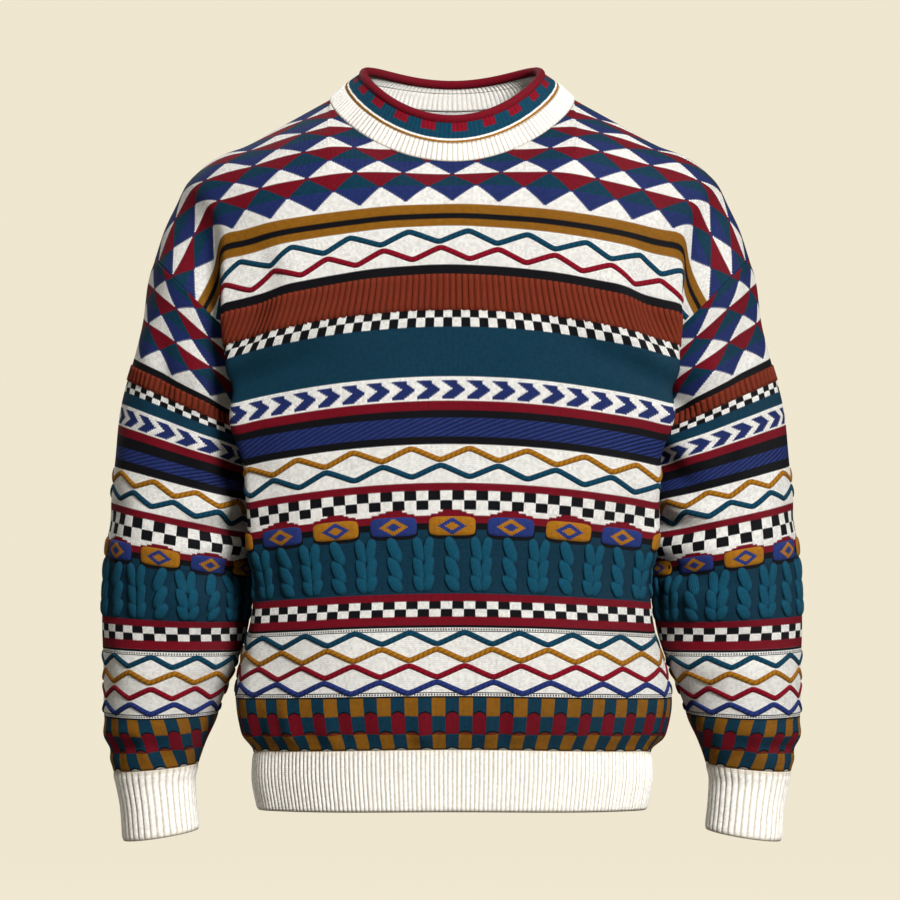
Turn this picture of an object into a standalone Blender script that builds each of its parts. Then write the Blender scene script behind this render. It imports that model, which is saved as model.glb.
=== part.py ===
"""Crewneck sweater, hollow and filled out as if worn.

Each knitted piece is a closed wall with an outer and an inner face. The outer faces are read from
smooth patches with flat coordinates: on the panels u runs across from the centre line and v down
from the neck point, on the sleeves u runs round from the outer line and s down from the armhole.
Front is -Y, up is +Z, and the origin is midway between the neck points, where the garment hangs.
"""
import math

import bmesh
import bpy
import numpy as np

MM = 0.001

# Cloth
WALL = 0.0026            # thickness of the knitted cloth
SEAM_GAP = 0.00036       # clearance between two pieces that are linked along a seam
SAME_PLACE = 1e-5        # places along a row that are closer than this count as equal

# Cut of the panels, laid flat
HALF_WIDTH = 0.315       # half of the panel's width
NECK_HALF = 0.115        # half of the neckline's width
NECK_DROP = 0.122        # front neckline, below the neck point
BACK_NECK_DROP = 0.055   # back neckline, below the neck point
SHOULDER_DROP = 0.060    # slope of the shoulder seam
YOKE_END = 0.175         # where the yoke's lattice ends
UNDERARM = 0.330         # lower end of the armhole
PANEL_END = 0.670        # where the hem rib starts
HEM_END = 0.727          # lower edge of the hem rib

# Cut of the sleeves, laid flat
SLEEVE_END = 0.485       # where the cuff starts
CUFF_END = 0.554         # lower edge of the cuff
SLEEVE_BLEND = 0.070     # length over which the armhole's shape turns into plain rings

# Armhole loop of the right-hand side
ARMHOLE_TOP = np.array([0.279, 0.006, -0.148])
ARMHOLE_BOTTOM = np.array([0.176, 0.006, -0.250])
ARMHOLE_DEPTH = 0.074    # half of the loop's size from front to back
ARMHOLE_EASE = 1.1       # above 1, more cloth is gathered in the lower half
SIDE_Y = 0.006           # side seams lie in this plane

# Neckband
ROLL_RADIUS = 0.0038     # rolled edge of the neckband

# Yoke: how steeply the cloth falls away from the shoulder seam
YOKE_FALL_FRONT = 0.55   # in front, at the neck point
YOKE_FALL_BACK = 0.16    # behind, at the neck point
YOKE_FALL_TIP = 0.08     # at the shoulder's tip
YOKE_ROUND = 1.17        # size of the curve's end slopes, as a share of its chord
NECK_STEP = 11.25        # degrees between two columns round the neck
NECK_GAP = 0.010         # half of the clearance above the rib, as a share of a level

# Raised knitting
ZIGZAG_HALF = 0.028      # from a crest of a zigzag cord to the next trough
ZIGZAG_RISE = 0.0036     # half of the zigzag's height
CORD_FOOT = 0.0029       # half of a cord's width
CORD_HEIGHT = 0.0020
PAD_STEP = 0.056
PAD_HALF = (0.0225, 0.009)
PAD_EDGE = 0.0035
PAD_HEIGHT = 0.0028
CABLE_STEP = 0.027
CABLE_HALF = (0.0088, 0.0052)   # wide cables, narrow cables
CABLE_EDGE = 0.0040
CABLE_HEIGHT = 0.0022
RIB_STEP = 0.0063        # hem rib
RIB_HEIGHT = 0.0010
RIB_START = 0.004        # the ribs rise to their height over this length
CUFF_RIBS = 36
CUFF_WAIST = 0.504       # the narrowest ring of the cuff
NECK_RIBS = 144
SLEEVE_ZIGZAG_HALF = 0.0215
SLEEVE_PAD_STEP = 0.049
SLEEVE_PAD_HALF = (0.0195, 0.0092)
SLEEVE_CABLE_STEP = 0.0245
INNER_STEP = 0.032       # between two columns of a sleeve's inner face

# Yarn colours
TEAL = (0.010, 0.090, 0.150)
NAVY = (0.026, 0.028, 0.190)
BURGUNDY = (0.260, 0.007, 0.020)
ECRU = (0.860, 0.830, 0.760)

# Rows of the body: heights of the bands below the neck point
BODY_CORDS = (0.2044, 0.2200, 0.4023, 0.4172, 0.5675, 0.5822, 0.5969, 0.6115)
BODY_PADS = 0.4663
BODY_CABLES = (0.4775, 0.5265)
BODY_PLAIN_ROWS = (0.2310, 0.2580, 0.2830, 0.3080, 0.3300, 0.3460, 0.3700, 0.4340, 0.5440,
                   0.6240, 0.6470, 0.6700)
BODY_INNER_ROWS = (0.2120, 0.2580, 0.2950, 0.3300, 0.3600, 0.4200, 0.4850, 0.5450, 0.5900,
                   0.6240, 0.6470, 0.6700)
YOKE_ROWS = (0.0, 0.12, 0.32, 0.62, 1.0)

# Rows of the sleeve: distances of the bands below the armhole
SLEEVE_CORDS = (0.2080, 0.2230, 0.3810, 0.3957, 0.4104, 0.4250)
SLEEVE_PADS = 0.2756
SLEEVE_CABLES = (0.2890, 0.3390)
SLEEVE_PLAIN_ROWS = (0.0120, 0.0320, 0.0580, 0.0900, 0.1300, 0.1700, 0.2450, 0.3520, 0.4400,
                     0.4620, 0.4850)
SLEEVE_INNER_ROWS = (0.0120, 0.0320, 0.0580, 0.0900, 0.1300, 0.1800, 0.2400, 0.3000, 0.3520,
                     0.4000, 0.4400, 0.4620, 0.4850)
# Half of the flat sleeve's width, by distance below the armhole
SLEEVE_TAPER = ((0.0, 0.250), (0.096, 0.226), (0.285, 0.222), (0.352, 0.211), (0.425, 0.182),
                (0.465, 0.154), (0.485, 0.134), (0.500, 0.119), (0.554, 0.115))


class Sections:
    """A short table with named columns in millimetres, read as smooth curves of its first one."""

    def __init__(self, names, rows):
        data = np.array(rows, dtype=float) * MM
        self.key = data[:, 0]
        self.values = dict(zip(names.split()[1:], data[:, 1:].T))
        self.slopes = {name: self._slopes(column) for name, column in self.values.items()}

    def _slopes(self, column):
        steps = np.diff(column) / np.diff(self.key)
        slopes = np.zeros(len(column))
        slopes[0], slopes[-1] = steps[0], steps[-1]
        for i in range(1, len(column) - 1):
            if steps[i - 1] * steps[i] > 0.0:
                slopes[i] = 2.0 * steps[i - 1] * steps[i] / (steps[i - 1] + steps[i])
        return slopes

    def at(self, name, key):
        column, slope = self.values[name], self.slopes[name]
        i = np.clip(np.searchsorted(self.key, key) - 1, 0, len(self.key) - 2)
        width = self.key[i + 1] - self.key[i]
        t = (key - self.key[i]) / width
        start = (1 + 2 * t) * (1 - t) ** 2 * column[i] + t * (1 - t) ** 2 * width * slope[i]
        end = t * t * (3 - 2 * t) * column[i + 1] + t * t * (t - 1) * width * slope[i + 1]
        return start + end

    def point(self, prefix, key):
        return np.array([self.at(prefix + axis, key) for axis in ("_x", "_y", "_z")])


# Rows of the panels in mm: the centre line, the edge where the chest turns back to the arm, and
# the fold between the chest and the sleeve. The hem rib is the last three rows.
FRONT_SECTIONS = Sections(
    "v centre_y centre_z edge_x edge_y edge_z fold_x fold_y fold_z", (
        (175, -118, -107, 210, -74, -132, 218, -60, -154),
        (231, -126, -162, 210, -86, -197, 203, -68, -213),
        (283, -131, -214, 207, -92, -243, 191, -58, -244),
        (340, -134, -270, 197, -95, -293, 184, -50, -277),
        (395, -136, -325, 190, -97, -345, 180, -52, -331),
        (451, -138, -382, 184, -95, -399, 178, -50, -388),
        (528, -142, -458, 179, -88, -468, 179, -45, -463),
        (584, -150, -514, 185, -88, -522, 195, -45, -521),
        (620, -154, -550, 188, -95, -556, 201, -50, -558),
        (651, -150, -581, 183, -92, -587, 195, -48, -590),
        (670, -143, -598, 173, -90, -604, 184, -46, -609),
        (690, -140, -618, 174, -89, -625, 185, -46, -630),
        (727, -137, -655, 170, -86, -659, 180, -44, -661)))
BACK_SECTIONS = Sections(
    "v centre_y centre_z edge_x edge_y edge_z fold_x fold_y fold_z", (
        (175, 112, -98, 208, 76, -129, 216, 66, -152),
        (231, 119, -153, 208, 88, -193, 204, 72, -212),
        (283, 121, -205, 204, 92, -239, 192, 62, -243),
        (340, 121, -262, 195, 92, -289, 184, 56, -276),
        (395, 121, -317, 188, 92, -341, 180, 56, -330),
        (451, 122, -374, 183, 90, -395, 178, 54, -387),
        (528, 126, -451, 179, 84, -466, 179, 49, -462),
        (584, 134, -508, 185, 84, -520, 195, 50, -520),
        (620, 138, -544, 188, 90, -555, 201, 54, -558),
        (651, 134, -576, 183, 88, -587, 195, 52, -590),
        (670, 128, -593, 173, 86, -604, 184, 50, -609),
        (690, 125, -613, 174, 85, -625, 185, 50, -630),
        (727, 122, -651, 170, 82, -659, 180, 48, -661)))
SIDE_SECTIONS = Sections(
    "v seam_x seam_z", (
        (330, 176, -250), (345, 172, -266), (362, 170, -284), (395, 170, -319),
        (451, 171, -378), (528, 176, -460), (584, 195, -520), (620, 203, -558),
        (651, 197, -591), (670, 185, -612), (690, 186, -632), (727, 181, -662)))
SHOULDER_SECTIONS = Sections(
    "u seam_x seam_y seam_z", (
        (115, 115, 0, 0), (150, 155, 1, -22), (182, 193, 2, -43), (205, 218, 3, -53),
        (228, 241, 4, -70), (240, 250, 4, -80), (258, 259, 5, -98), (285, 270.5, 6, -122),
        (315, 279, 6, -148)))
# Rings of the sleeve in mm: outer point, inner point, middle and half size from front to back.
SLEEVE_SECTIONS = Sections(
    "s outer_x outer_z inner_x inner_z middle_y depth", (
        (0, 279, -148, 176, -250, 6, 74), (25, 285, -172, 180, -264, 6, 74),
        (54, 289.5, -200, 181, -280, 5, 74), (96, 299.4, -241.6, 181, -303, 4, 73),
        (144, 309.7, -288.6, 182, -335, 2, 72), (190, 315, -334, 184, -370, 0, 71),
        (256, 323.8, -399.5, 186, -425, -3, 71), (285, 325.7, -428.6, 187, -447, -4, 71),
        (327, 326.6, -470, 189, -478, -6, 69), (352, 326.6, -494, 192, -498, -7, 67),
        (390, 326.6, -532, 204, -534, -9, 64), (425, 326.6, -568, 217, -567, -11, 60),
        (440, 324.5, -583, 220.5, -580, -12, 57), (465, 320.5, -608, 230, -601, -13, 51),
        (485, 317, -628, 237, -621, -14, 43), (500, 313, -645, 241, -637, -14, 39),
        (520, 309.5, -664, 240, -656, -15, 38), (554, 307.4, -693.7, 237, -683, -16, 37)))
# Rings of the neckband in mm, by level: 0 is the neckline, 1 the top of the ecru rib and 2 the foot
# of the rolled edge. The level is written as 1000 for each step, so that it reads as 1 in metres.
NECK_SECTIONS = Sections(
    "level half_x front_y back_y front_z side_z back_z", (
        (0, 115, -85, 60, -65, 0, -5), (1000, 100, -79, 57, -47.6, 13, 12),
        (2000, 84, -72, 54, -25, 25, 20)))


def unit(vectors):
    return vectors / np.maximum(np.linalg.norm(vectors, axis=-1, keepdims=True), 1e-12)


def natural_spline(points, count):
    """Dense points of a natural cubic spline through the given points, by chord length."""
    points = np.array(points)
    knots = np.concatenate(([0.0], np.cumsum(np.linalg.norm(np.diff(points, axis=0), axis=1))))
    n = len(points)
    width = np.diff(knots)
    matrix = np.eye(n)
    right = np.zeros((n, 3))
    for i in range(1, n - 1):
        matrix[i, i - 1:i + 2] = width[i - 1], 2 * (width[i - 1] + width[i]), width[i]
        right[i] = 6 * ((points[i + 1] - points[i]) / width[i]
                        - (points[i] - points[i - 1]) / width[i - 1])
    bend = np.linalg.solve(matrix, right)
    t = np.linspace(0.0, knots[-1], count)
    i = np.clip(np.searchsorted(knots, t) - 1, 0, n - 2)
    before = (knots[i + 1] - t)[:, None]
    after = (t - knots[i])[:, None]
    h = width[i][:, None]
    return (bend[i] * before ** 3 / (6 * h) + bend[i + 1] * after ** 3 / (6 * h)
            + (points[i] / h - bend[i] * h / 6) * before
            + (points[i + 1] / h - bend[i + 1] * h / 6) * after)


class Patch:
    """A grid of points and outward normals over two coordinates, read between its lines."""

    def __init__(self, a_lines, b_lines, points, outward):
        self.a_lines = np.array(a_lines)
        self.b_lines = np.array(b_lines)
        self.points = points
        along_a = np.gradient(points, self.a_lines, axis=1)
        along_b = np.gradient(points, self.b_lines, axis=0)
        self.normals = unit(np.cross(along_a, along_b)) * outward
        self.shifts = np.zeros_like(points)

    def _read(self, grid, a, b):
        i = np.clip(np.searchsorted(self.a_lines, a) - 1, 0, len(self.a_lines) - 2)
        j = np.clip(np.searchsorted(self.b_lines, b) - 1, 0, len(self.b_lines) - 2)
        s = (a - self.a_lines[i]) / (self.a_lines[i + 1] - self.a_lines[i])
        t = (b - self.b_lines[j]) / (self.b_lines[j + 1] - self.b_lines[j])
        s, t = s[:, None], t[:, None]
        return ((1 - t) * ((1 - s) * grid[j, i] + s * grid[j, i + 1])
                + t * ((1 - s) * grid[j + 1, i] + s * grid[j + 1, i + 1]))

    def read(self, a, b):
        return self._read(self.points, a, b), unit(self._read(self.normals, a, b))

    def shift(self, a, b):
        return self._read(self.shifts, a, b)


def armhole_angle(v):
    share = np.clip((v - SHOULDER_DROP) / (UNDERARM - SHOULDER_DROP), 0.0, 1.0)
    return math.pi * share ** (1.0 / ARMHOLE_EASE)


def armhole_point(v, facing):
    """A point of the armhole loop, facing -1 on the front half and +1 on the back half."""
    angle = armhole_angle(v)
    middle = (ARMHOLE_TOP + ARMHOLE_BOTTOM) / 2
    point = middle + math.cos(angle) * (ARMHOLE_TOP - middle)
    point[1] += facing * ARMHOLE_DEPTH * math.sin(angle)
    return point


def armhole_inward(v, point):
    """The direction of the cloth's thickness at the armhole, towards the inside."""
    inward = (ARMHOLE_TOP + ARMHOLE_BOTTOM) / 2 - point
    inward[0] *= (1 + math.cos(armhole_angle(v))) / 2
    return unit(inward)


def neck_ring(angle, level):
    """A point of the neckband's outer face: angle 0 is the front centre, 180 degrees the back."""
    front = max(math.cos(angle), 0.0)
    back = max(-math.cos(angle), 0.0)
    front_z, side_z, back_z = [NECK_SECTIONS.at(name, level)
                               for name in ("front_z", "side_z", "back_z")]
    tilt = (front_z - back_z) / 2
    dip = (front_z + back_z) / 4 - side_z / 2
    return np.array([
        NECK_SECTIONS.at("half_x", level) * math.sin(angle),
        NECK_SECTIONS.at("front_y", level) * front + NECK_SECTIONS.at("back_y", level) * back,
        side_z + dip + tilt * math.cos(angle) + dip * math.cos(2 * angle)])


def top_edge(u, drop):
    """Flat height of the panel's top edge: the neckline, then the shoulder."""
    if u < NECK_HALF:
        return drop * math.sqrt(1.0 - (u / NECK_HALF) ** 2)
    return SHOULDER_DROP * (u - NECK_HALF) / (HALF_WIDTH - NECK_HALF)


def panel_row(v, sections, facing, columns):
    """One course of a panel from its centre to its seam, at the given distances u."""
    centre = np.array([0.0, sections.at("centre_y", v), sections.at("centre_z", v)])
    edge = sections.point("edge", v)
    controls = [centre]
    for q in (0.35, 0.60, 0.80, 0.93, 1.0):
        weight = np.array([q, q ** 3.2, q ** 2])
        controls.append(centre + (edge - centre) * weight)
    controls.append(sections.point("fold", v))
    if v <= UNDERARM:
        controls.append(armhole_point(v, facing))
    else:
        controls.append(np.array([SIDE_SECTIONS.at("seam_x", v), SIDE_Y,
                                  SIDE_SECTIONS.at("seam_z", v)]))
    mirrored = [point * (-1, 1, 1) for point in controls[:0:-1]]
    curve = natural_spline(mirrored + controls, 801)[400:]
    length = np.concatenate(([0.0], np.cumsum(np.linalg.norm(np.diff(curve, axis=0), axis=1))))
    flat = length * HALF_WIDTH / length[-1]
    return np.stack([np.interp(columns, flat, curve[:, i]) for i in range(3)], axis=1)


def yoke_column(u, end, slope, facing, t):
    """A column of the yoke, from the neckline or shoulder over to the first full course."""
    if u < NECK_HALF:
        turn = math.asin(u / NECK_HALF)
        start = neck_ring(turn if facing < 0 else math.pi - turn, 0.0)
    else:
        start = SHOULDER_SECTIONS.point("seam", u)
    side = min(u / NECK_HALF, 1.0) ** 2
    out = max(u - NECK_HALF, 0.0) / (HALF_WIDTH - NECK_HALF)
    fall = YOKE_FALL_FRONT if facing < 0 else YOKE_FALL_BACK
    steep = np.array([0.0, facing * 0.60, -0.80])
    level = unit(np.array([0.0, facing, -fall * max(1.0 - 2.5 * out, 0.0) - YOKE_FALL_TIP * out]))
    chord = np.linalg.norm(end - start) * YOKE_ROUND
    leave = unit(steep * (1 - side) + level * side) * chord
    arrive = unit(slope) * chord
    t = t[:, None]
    return ((1 + 2 * t) * (1 - t) ** 2 * start + t * (1 - t) ** 2 * leave
            + t * t * (3 - 2 * t) * end + t * t * (t - 1) * arrive)


YOKE_LINES = np.linspace(0.0, 1.0, 29)
V_LINES = np.concatenate((np.linspace(YOKE_END, UNDERARM, 53),
                          np.linspace(UNDERARM, PANEL_END, 115)[1:],
                          np.linspace(PANEL_END, HEM_END, 20)[1:]))
NECK_LINES = np.radians(np.linspace(0.0, 90.0, 49))
U_LINES = np.concatenate((NECK_HALF * np.sin(NECK_LINES),
                          np.linspace(NECK_HALF, HALF_WIDTH, 81)[1:]))


def panel_patch(sections, facing):
    """The panel's right half and hem: a is u, b is 0 to 1 down the yoke and then 1 + v below it."""
    rows = np.array([panel_row(v, sections, facing, U_LINES) for v in V_LINES])
    slope = rows[1] - rows[0]
    yoke = np.array([yoke_column(u, rows[0, j], slope[j], facing, YOKE_LINES[:-1])
                     for j, u in enumerate(U_LINES)]).swapaxes(0, 1)
    b_lines = np.concatenate((YOKE_LINES[:-1], 1.0 + V_LINES - YOKE_END))
    return Patch(U_LINES, b_lines, np.concatenate((yoke, rows)), facing)


def panel_b(u, v, drop):
    """The patch coordinate b of a flat point of the panel."""
    top = np.array([top_edge(abs(x), drop) for x in u])
    return np.where(v < YOKE_END, (v - top) / (YOKE_END - top), 1.0 + v - YOKE_END)


def sleeve_ring(turn, s):
    """A point of the right-hand sleeve's plain rings; turn runs from -1 to 1, 0 is the outside."""
    angle = math.pi * turn
    outer = np.array([SLEEVE_SECTIONS.at("outer_x", s), 0.0, SLEEVE_SECTIONS.at("outer_z", s)])
    inner = np.array([SLEEVE_SECTIONS.at("inner_x", s), 0.0, SLEEVE_SECTIONS.at("inner_z", s)])
    middle = (outer + inner) / 2
    point = middle + math.cos(angle) * (outer - middle)
    point[1] = (SLEEVE_SECTIONS.at("middle_y", s)
                + SLEEVE_SECTIONS.at("depth", s) * math.sin(angle))
    return point


TURN_LINES = np.linspace(-1.0, 1.0, 145)
S_LINES = np.concatenate((np.linspace(0.0, SLEEVE_END, 163),
                          np.linspace(SLEEVE_END, CUFF_END, 24)[1:]))


def armhole_v(turn):
    """The panel's v at a turn of the armhole, and back."""
    return SHOULDER_DROP + (UNDERARM - SHOULDER_DROP) * abs(turn) ** ARMHOLE_EASE


def armhole_turn(v, facing):
    share = (v - SHOULDER_DROP) / (UNDERARM - SHOULDER_DROP)
    return facing * share ** (1.0 / ARMHOLE_EASE)


def seam_places(heights):
    """Places along the panel's seams: turns of the armhole, then on down the side."""
    return [armhole_turn(v, 1) if v < UNDERARM else 1.0 + v - UNDERARM for v in heights]


def seam_shift(points, inward, sense):
    """Half of the seam's clearance, square to the seam and to the cloth's thickness there."""
    along = np.gradient(points, axis=0)
    return unit(np.cross(along, inward)) * sense * SEAM_GAP / 2


class Garment:
    """All patches, with common thickness directions and clearances along the seams."""

    def __init__(self):
        self.front = panel_patch(FRONT_SECTIONS, -1)
        self.back = panel_patch(BACK_SECTIONS, 1)
        self.sleeve = self._sleeve_patch()
        self.neck = self._neck_patch()
        self._join_sides()
        self._join_shoulders()
        self._join_armholes()
        self._join_neckline()

    def _armhole_points(self, turns):
        points = []
        for turn in turns:
            patch, drop = (self.front, NECK_DROP) if turn < 0 else (self.back, BACK_NECK_DROP)
            u = np.array([HALF_WIDTH])
            points.append(patch.read(u, panel_b(u, armhole_v(turn), drop))[0][0])
        return np.array(points)

    def _sleeve_patch(self):
        armhole = self._armhole_points(TURN_LINES)
        plain = np.array([sleeve_ring(turn, 0.0) for turn in TURN_LINES])
        rows = []
        for s in S_LINES:
            share = min(s / SLEEVE_BLEND, 1.0)
            fade = 1.0 - share * share * (3.0 - 2.0 * share)
            ring = np.array([sleeve_ring(turn, s) for turn in TURN_LINES])
            rows.append(ring + (armhole - plain) * fade)
        patch = Patch(TURN_LINES, S_LINES, np.array(rows), -1)
        patch.normals[:, 0] = patch.normals[:, -1] = unit(patch.normals[:, 0] + patch.normals[:, -1])
        return patch

    def _neck_patch(self):
        angles = np.radians(np.arange(0.0, 180.1, NECK_STEP / 3))
        levels = np.linspace(0.0, 2.0, 13)
        points = np.array([[neck_ring(angle, level) for angle in angles] for level in levels])
        return Patch(angles, levels, points, 1)

    def _join_sides(self):
        below = self.front.b_lines >= 1.0 + UNDERARM - YOKE_END - 1e-9
        mean = unit(self.front.normals[below, -1] + self.back.normals[below, -1])
        shift = seam_shift(self.front.points[below, -1], -mean, 1)
        shift *= np.sign(shift[:, 1:2])
        for patch, facing in ((self.front, -1), (self.back, 1)):
            patch.normals[below, -1] = mean
            patch.shifts[below, -1] += facing * shift

    def _join_shoulders(self):
        outer = self.front.a_lines >= NECK_HALF - 1e-9
        mean = unit(self.front.normals[0, outer] + self.back.normals[0, outer])
        shift = seam_shift(self.front.points[0, outer], -mean, 1)
        shift *= np.sign(shift[:, 1:2])
        for patch, facing in ((self.front, -1), (self.back, 1)):
            patch.normals[0, outer] = mean
            patch.shifts[0, outer] += facing * shift

    def _join_armholes(self):
        above = self.front.b_lines <= 1.0 + UNDERARM - YOKE_END + 1e-9
        heights = np.where(self.front.b_lines < 1.0,
                           SHOULDER_DROP + (YOKE_END - SHOULDER_DROP) * self.front.b_lines,
                           self.front.b_lines - 1.0 + YOKE_END)[above]
        for patch, facing in ((self.front, -1), (self.back, 1)):
            points = patch.points[above, -1]
            inward = np.array([armhole_inward(v, p) for v, p in zip(heights, points)])
            patch.normals[above, -1] = -inward
            patch.shifts[above, -1] += seam_shift(points, inward, facing)
        points = self.sleeve.points[0]
        inward = np.array([armhole_inward(armhole_v(turn), p)
                           for turn, p in zip(self.sleeve.a_lines, points)])
        self.sleeve.normals[0] = -inward
        self.sleeve.shifts[0] += seam_shift(points, inward, -1)

    def _join_neckline(self):
        angles = self.neck.a_lines
        turn = np.where(angles <= math.pi / 2, angles, math.pi - angles)
        u = NECK_HALF * np.sin(turn)
        top = np.zeros(len(u))
        front = self.front.read(u, top)[1]
        back = self.back.read(u, top)[1]
        panel = np.where((angles < math.pi / 2)[:, None], front, back)
        mean = unit(panel + self.neck.normals[0])
        self.neck.normals[0] = mean
        shift = seam_shift(self.neck.points[0], -mean, 1)
        self.neck.shifts[0] += shift * np.sign(shift[:, 2:3])
        inner = self.front.a_lines <= NECK_HALF + 1e-9
        for patch, is_back in ((self.front, False), (self.back, True)):
            turn = np.arcsin(np.clip(patch.a_lines[inner] / NECK_HALF, 0.0, 1.0))
            angle = math.pi - turn if is_back else turn
            near = self.neck.read(angle, np.zeros(len(angle)))[1]
            apart = self.neck.shift(angle, np.zeros(len(angle)))
            patch.normals[0, inner] = near
            patch.shifts[0, inner] -= apart


# Columns of the panels' rows: closer together where the cloth turns back beside the arm
COLUMN_U = np.array([0, 28, 56, 84, 112, 140, 168, 196, 224, 238, 252, 266, 280, 315]) * MM
INNER_U = np.array([0, 36, 72, 108, 144, 180, 205, 224, 238, 252, 266, 280, 315]) * MM
SHOULDER_U = np.array([137, 160, 182, 205, 224, 240, 258, 280, 298, 315]) * MM
RELIEF_END = 0.300       # raised knitting runs out just before the panel's seam


def top_columns():
    """Columns of a panel's top edge: even steps round the neckline, then the shoulder."""
    angles = np.radians(np.arange(0.0, 90.1, NECK_STEP))
    return np.concatenate((NECK_HALF * np.sin(angles), SHOULDER_U))


def zigzag(u, half, phase):
    """Height of a zigzag at flat distance u, between -1 and 1, with a crest at u = 0."""
    cycle = (u / half + phase) % 2.0
    return 1.0 - 2.0 * np.minimum(cycle, 2.0 - cycle)


def level_course(v, u, heights=0.0):
    """A straight row: its place in the order, flat distances, flat heights and relief."""
    return v, u, np.full(len(u), v), np.zeros(len(u)) + heights


def cord_courses(centre, u, half, phase, fade):
    """Three rows of a zigzag cord: its upper foot, its top and its lower foot."""
    wave = -ZIGZAG_RISE * zigzag(u, half, phase) * fade
    return [(centre + offset, u, centre + offset + wave, height * fade)
            for offset, height in ((-CORD_FOOT, 0.0), (0.0, CORD_HEIGHT), (CORD_FOOT, 0.0))]


def raised_columns(step, halves, edge, limit, seam):
    """Foot and top columns of raised patches every step, their relief, and the seam at the end."""
    columns, heights = [0.0], [1.0]
    for k in range(int(limit / step) + 1):
        half = halves[k % len(halves)]
        for offset, height in ((-half, 0.0), (edge - half, 1.0), (half - edge, 1.0), (half, 0.0)):
            if 0.0 < k * step + offset < limit:
                columns.append(k * step + offset)
                heights.append(height)
    return np.array(columns + [seam]), np.array(heights + [0.0])


def band_courses(low, high, edge, columns, raised, height):
    """Four rows for a band of raised patches: a plain foot, two raised rows and a plain foot."""
    raised_u, relief = raised
    return [level_course(low, columns), level_course(low + edge, raised_u, relief * height),
            level_course(high - edge, raised_u, relief * height), level_course(high, columns)]


def mirrored_row(patch, u, b, height):
    """A full row of a panel from its right half: flat distances and points."""
    points, normals = patch.read(u, b)
    points = points + patch.shift(u, b) + normals * np.reshape(height, (-1, 1))
    left = points[:0:-1] * (-1, 1, 1)
    return np.concatenate((-u[:0:-1], u)), np.concatenate((left, points))


def panel_courses():
    """Outer rows of a panel below the yoke, in order."""
    fade = np.where(COLUMN_U < RELIEF_END, 1.0, 0.0)
    courses = [level_course(v, COLUMN_U) for v in BODY_PLAIN_ROWS]
    for index, centre in enumerate(BODY_CORDS):
        courses += cord_courses(centre, COLUMN_U, ZIGZAG_HALF, index % 2, fade)
    pads = raised_columns(PAD_STEP, PAD_HALF[:1], PAD_EDGE, RELIEF_END, HALF_WIDTH)
    courses += band_courses(BODY_PADS - PAD_HALF[1], BODY_PADS + PAD_HALF[1], PAD_EDGE,
                            COLUMN_U, pads, PAD_HEIGHT)
    cables = raised_columns(CABLE_STEP, CABLE_HALF, CABLE_EDGE, RELIEF_END, HALF_WIDTH)
    courses += band_courses(*BODY_CABLES, CABLE_EDGE, COLUMN_U, cables, CABLE_HEIGHT)
    return sorted(courses, key=lambda course: course[0])


def panel_rows(patch, drop):
    """Outer and inner rows of a panel, and the v at which each of them meets the seam."""
    outer, inner, outer_v, inner_v = [], [], [], []
    for rows, ends, columns, depth in ((outer, outer_v, COLUMN_U, 0.0),
                                       (inner, inner_v, INNER_U, -WALL)):
        for share in YOKE_ROWS:
            u = top_columns() if share == 0.0 else columns
            rows.append(mirrored_row(patch, u, np.full(len(u), share), np.full(len(u), depth)))
            ends.append(SHOULDER_DROP + (YOKE_END - SHOULDER_DROP) * share)
    inner_courses = [level_course(v, INNER_U, -WALL) for v in BODY_INNER_ROWS]
    for rows, ends, courses in ((outer, outer_v, panel_courses()),
                                (inner, inner_v, inner_courses)):
        for _, u, v, height in courses:
            v = np.minimum(v, PANEL_END - SEAM_GAP / 2)
            rows.append(mirrored_row(patch, u, panel_b(u, v, drop), height))
            ends.append(v[-1])
    return outer, inner, np.array(outer_v), np.array(inner_v)


def rib_columns(start, end, count):
    """Two columns for each rib, a groove and a crest, and their relief."""
    columns = np.linspace(start, end, 2 * count + 1)
    return columns, np.where(np.arange(2 * count + 1) % 2, RIB_HEIGHT, 0.0)


def welt_rows(patch, drop):
    """Outer and inner rows of one half of the hem rib."""
    top = PANEL_END + SEAM_GAP / 2
    ribs, relief = rib_columns(0.0, HALF_WIDTH, round(HALF_WIDTH / RIB_STEP))
    outer = [level_course(top, COLUMN_U)]
    outer += [level_course(v, ribs, relief) for v in (PANEL_END + RIB_START, HEM_END)]
    inner = [level_course(v, INNER_U, -WALL) for v in (top, PANEL_END + RIB_START, HEM_END)]
    return [[mirrored_row(patch, u, panel_b(u, v, drop), height) for _, u, v, height in courses]
            for courses in (outer, inner)]


def sleeve_half_width(s):
    places, widths = zip(*SLEEVE_TAPER)
    return float(np.interp(s, places, widths))


def sleeve_columns(s, step):
    """Flat distances from the outer line, every step, then the underarm seam."""
    half = sleeve_half_width(s)
    return np.append(np.arange(0.0, half - step / 3, step), half)


def closed_row(patch, u, s, height, mirror):
    """A closed sleeve row from its back half; it starts at the underarm seam."""
    half = u[-1]
    turn = np.concatenate((-u[:0:-1], u[:-1])) / half
    s = np.concatenate((s[:0:-1], s[:-1]))
    height = np.concatenate((height[:0:-1], height[:-1]))
    points, normals = patch.read(turn, s)
    points = points + patch.shift(turn, s) + normals * height[:, None]
    return turn, points * (mirror, 1, 1)


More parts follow.
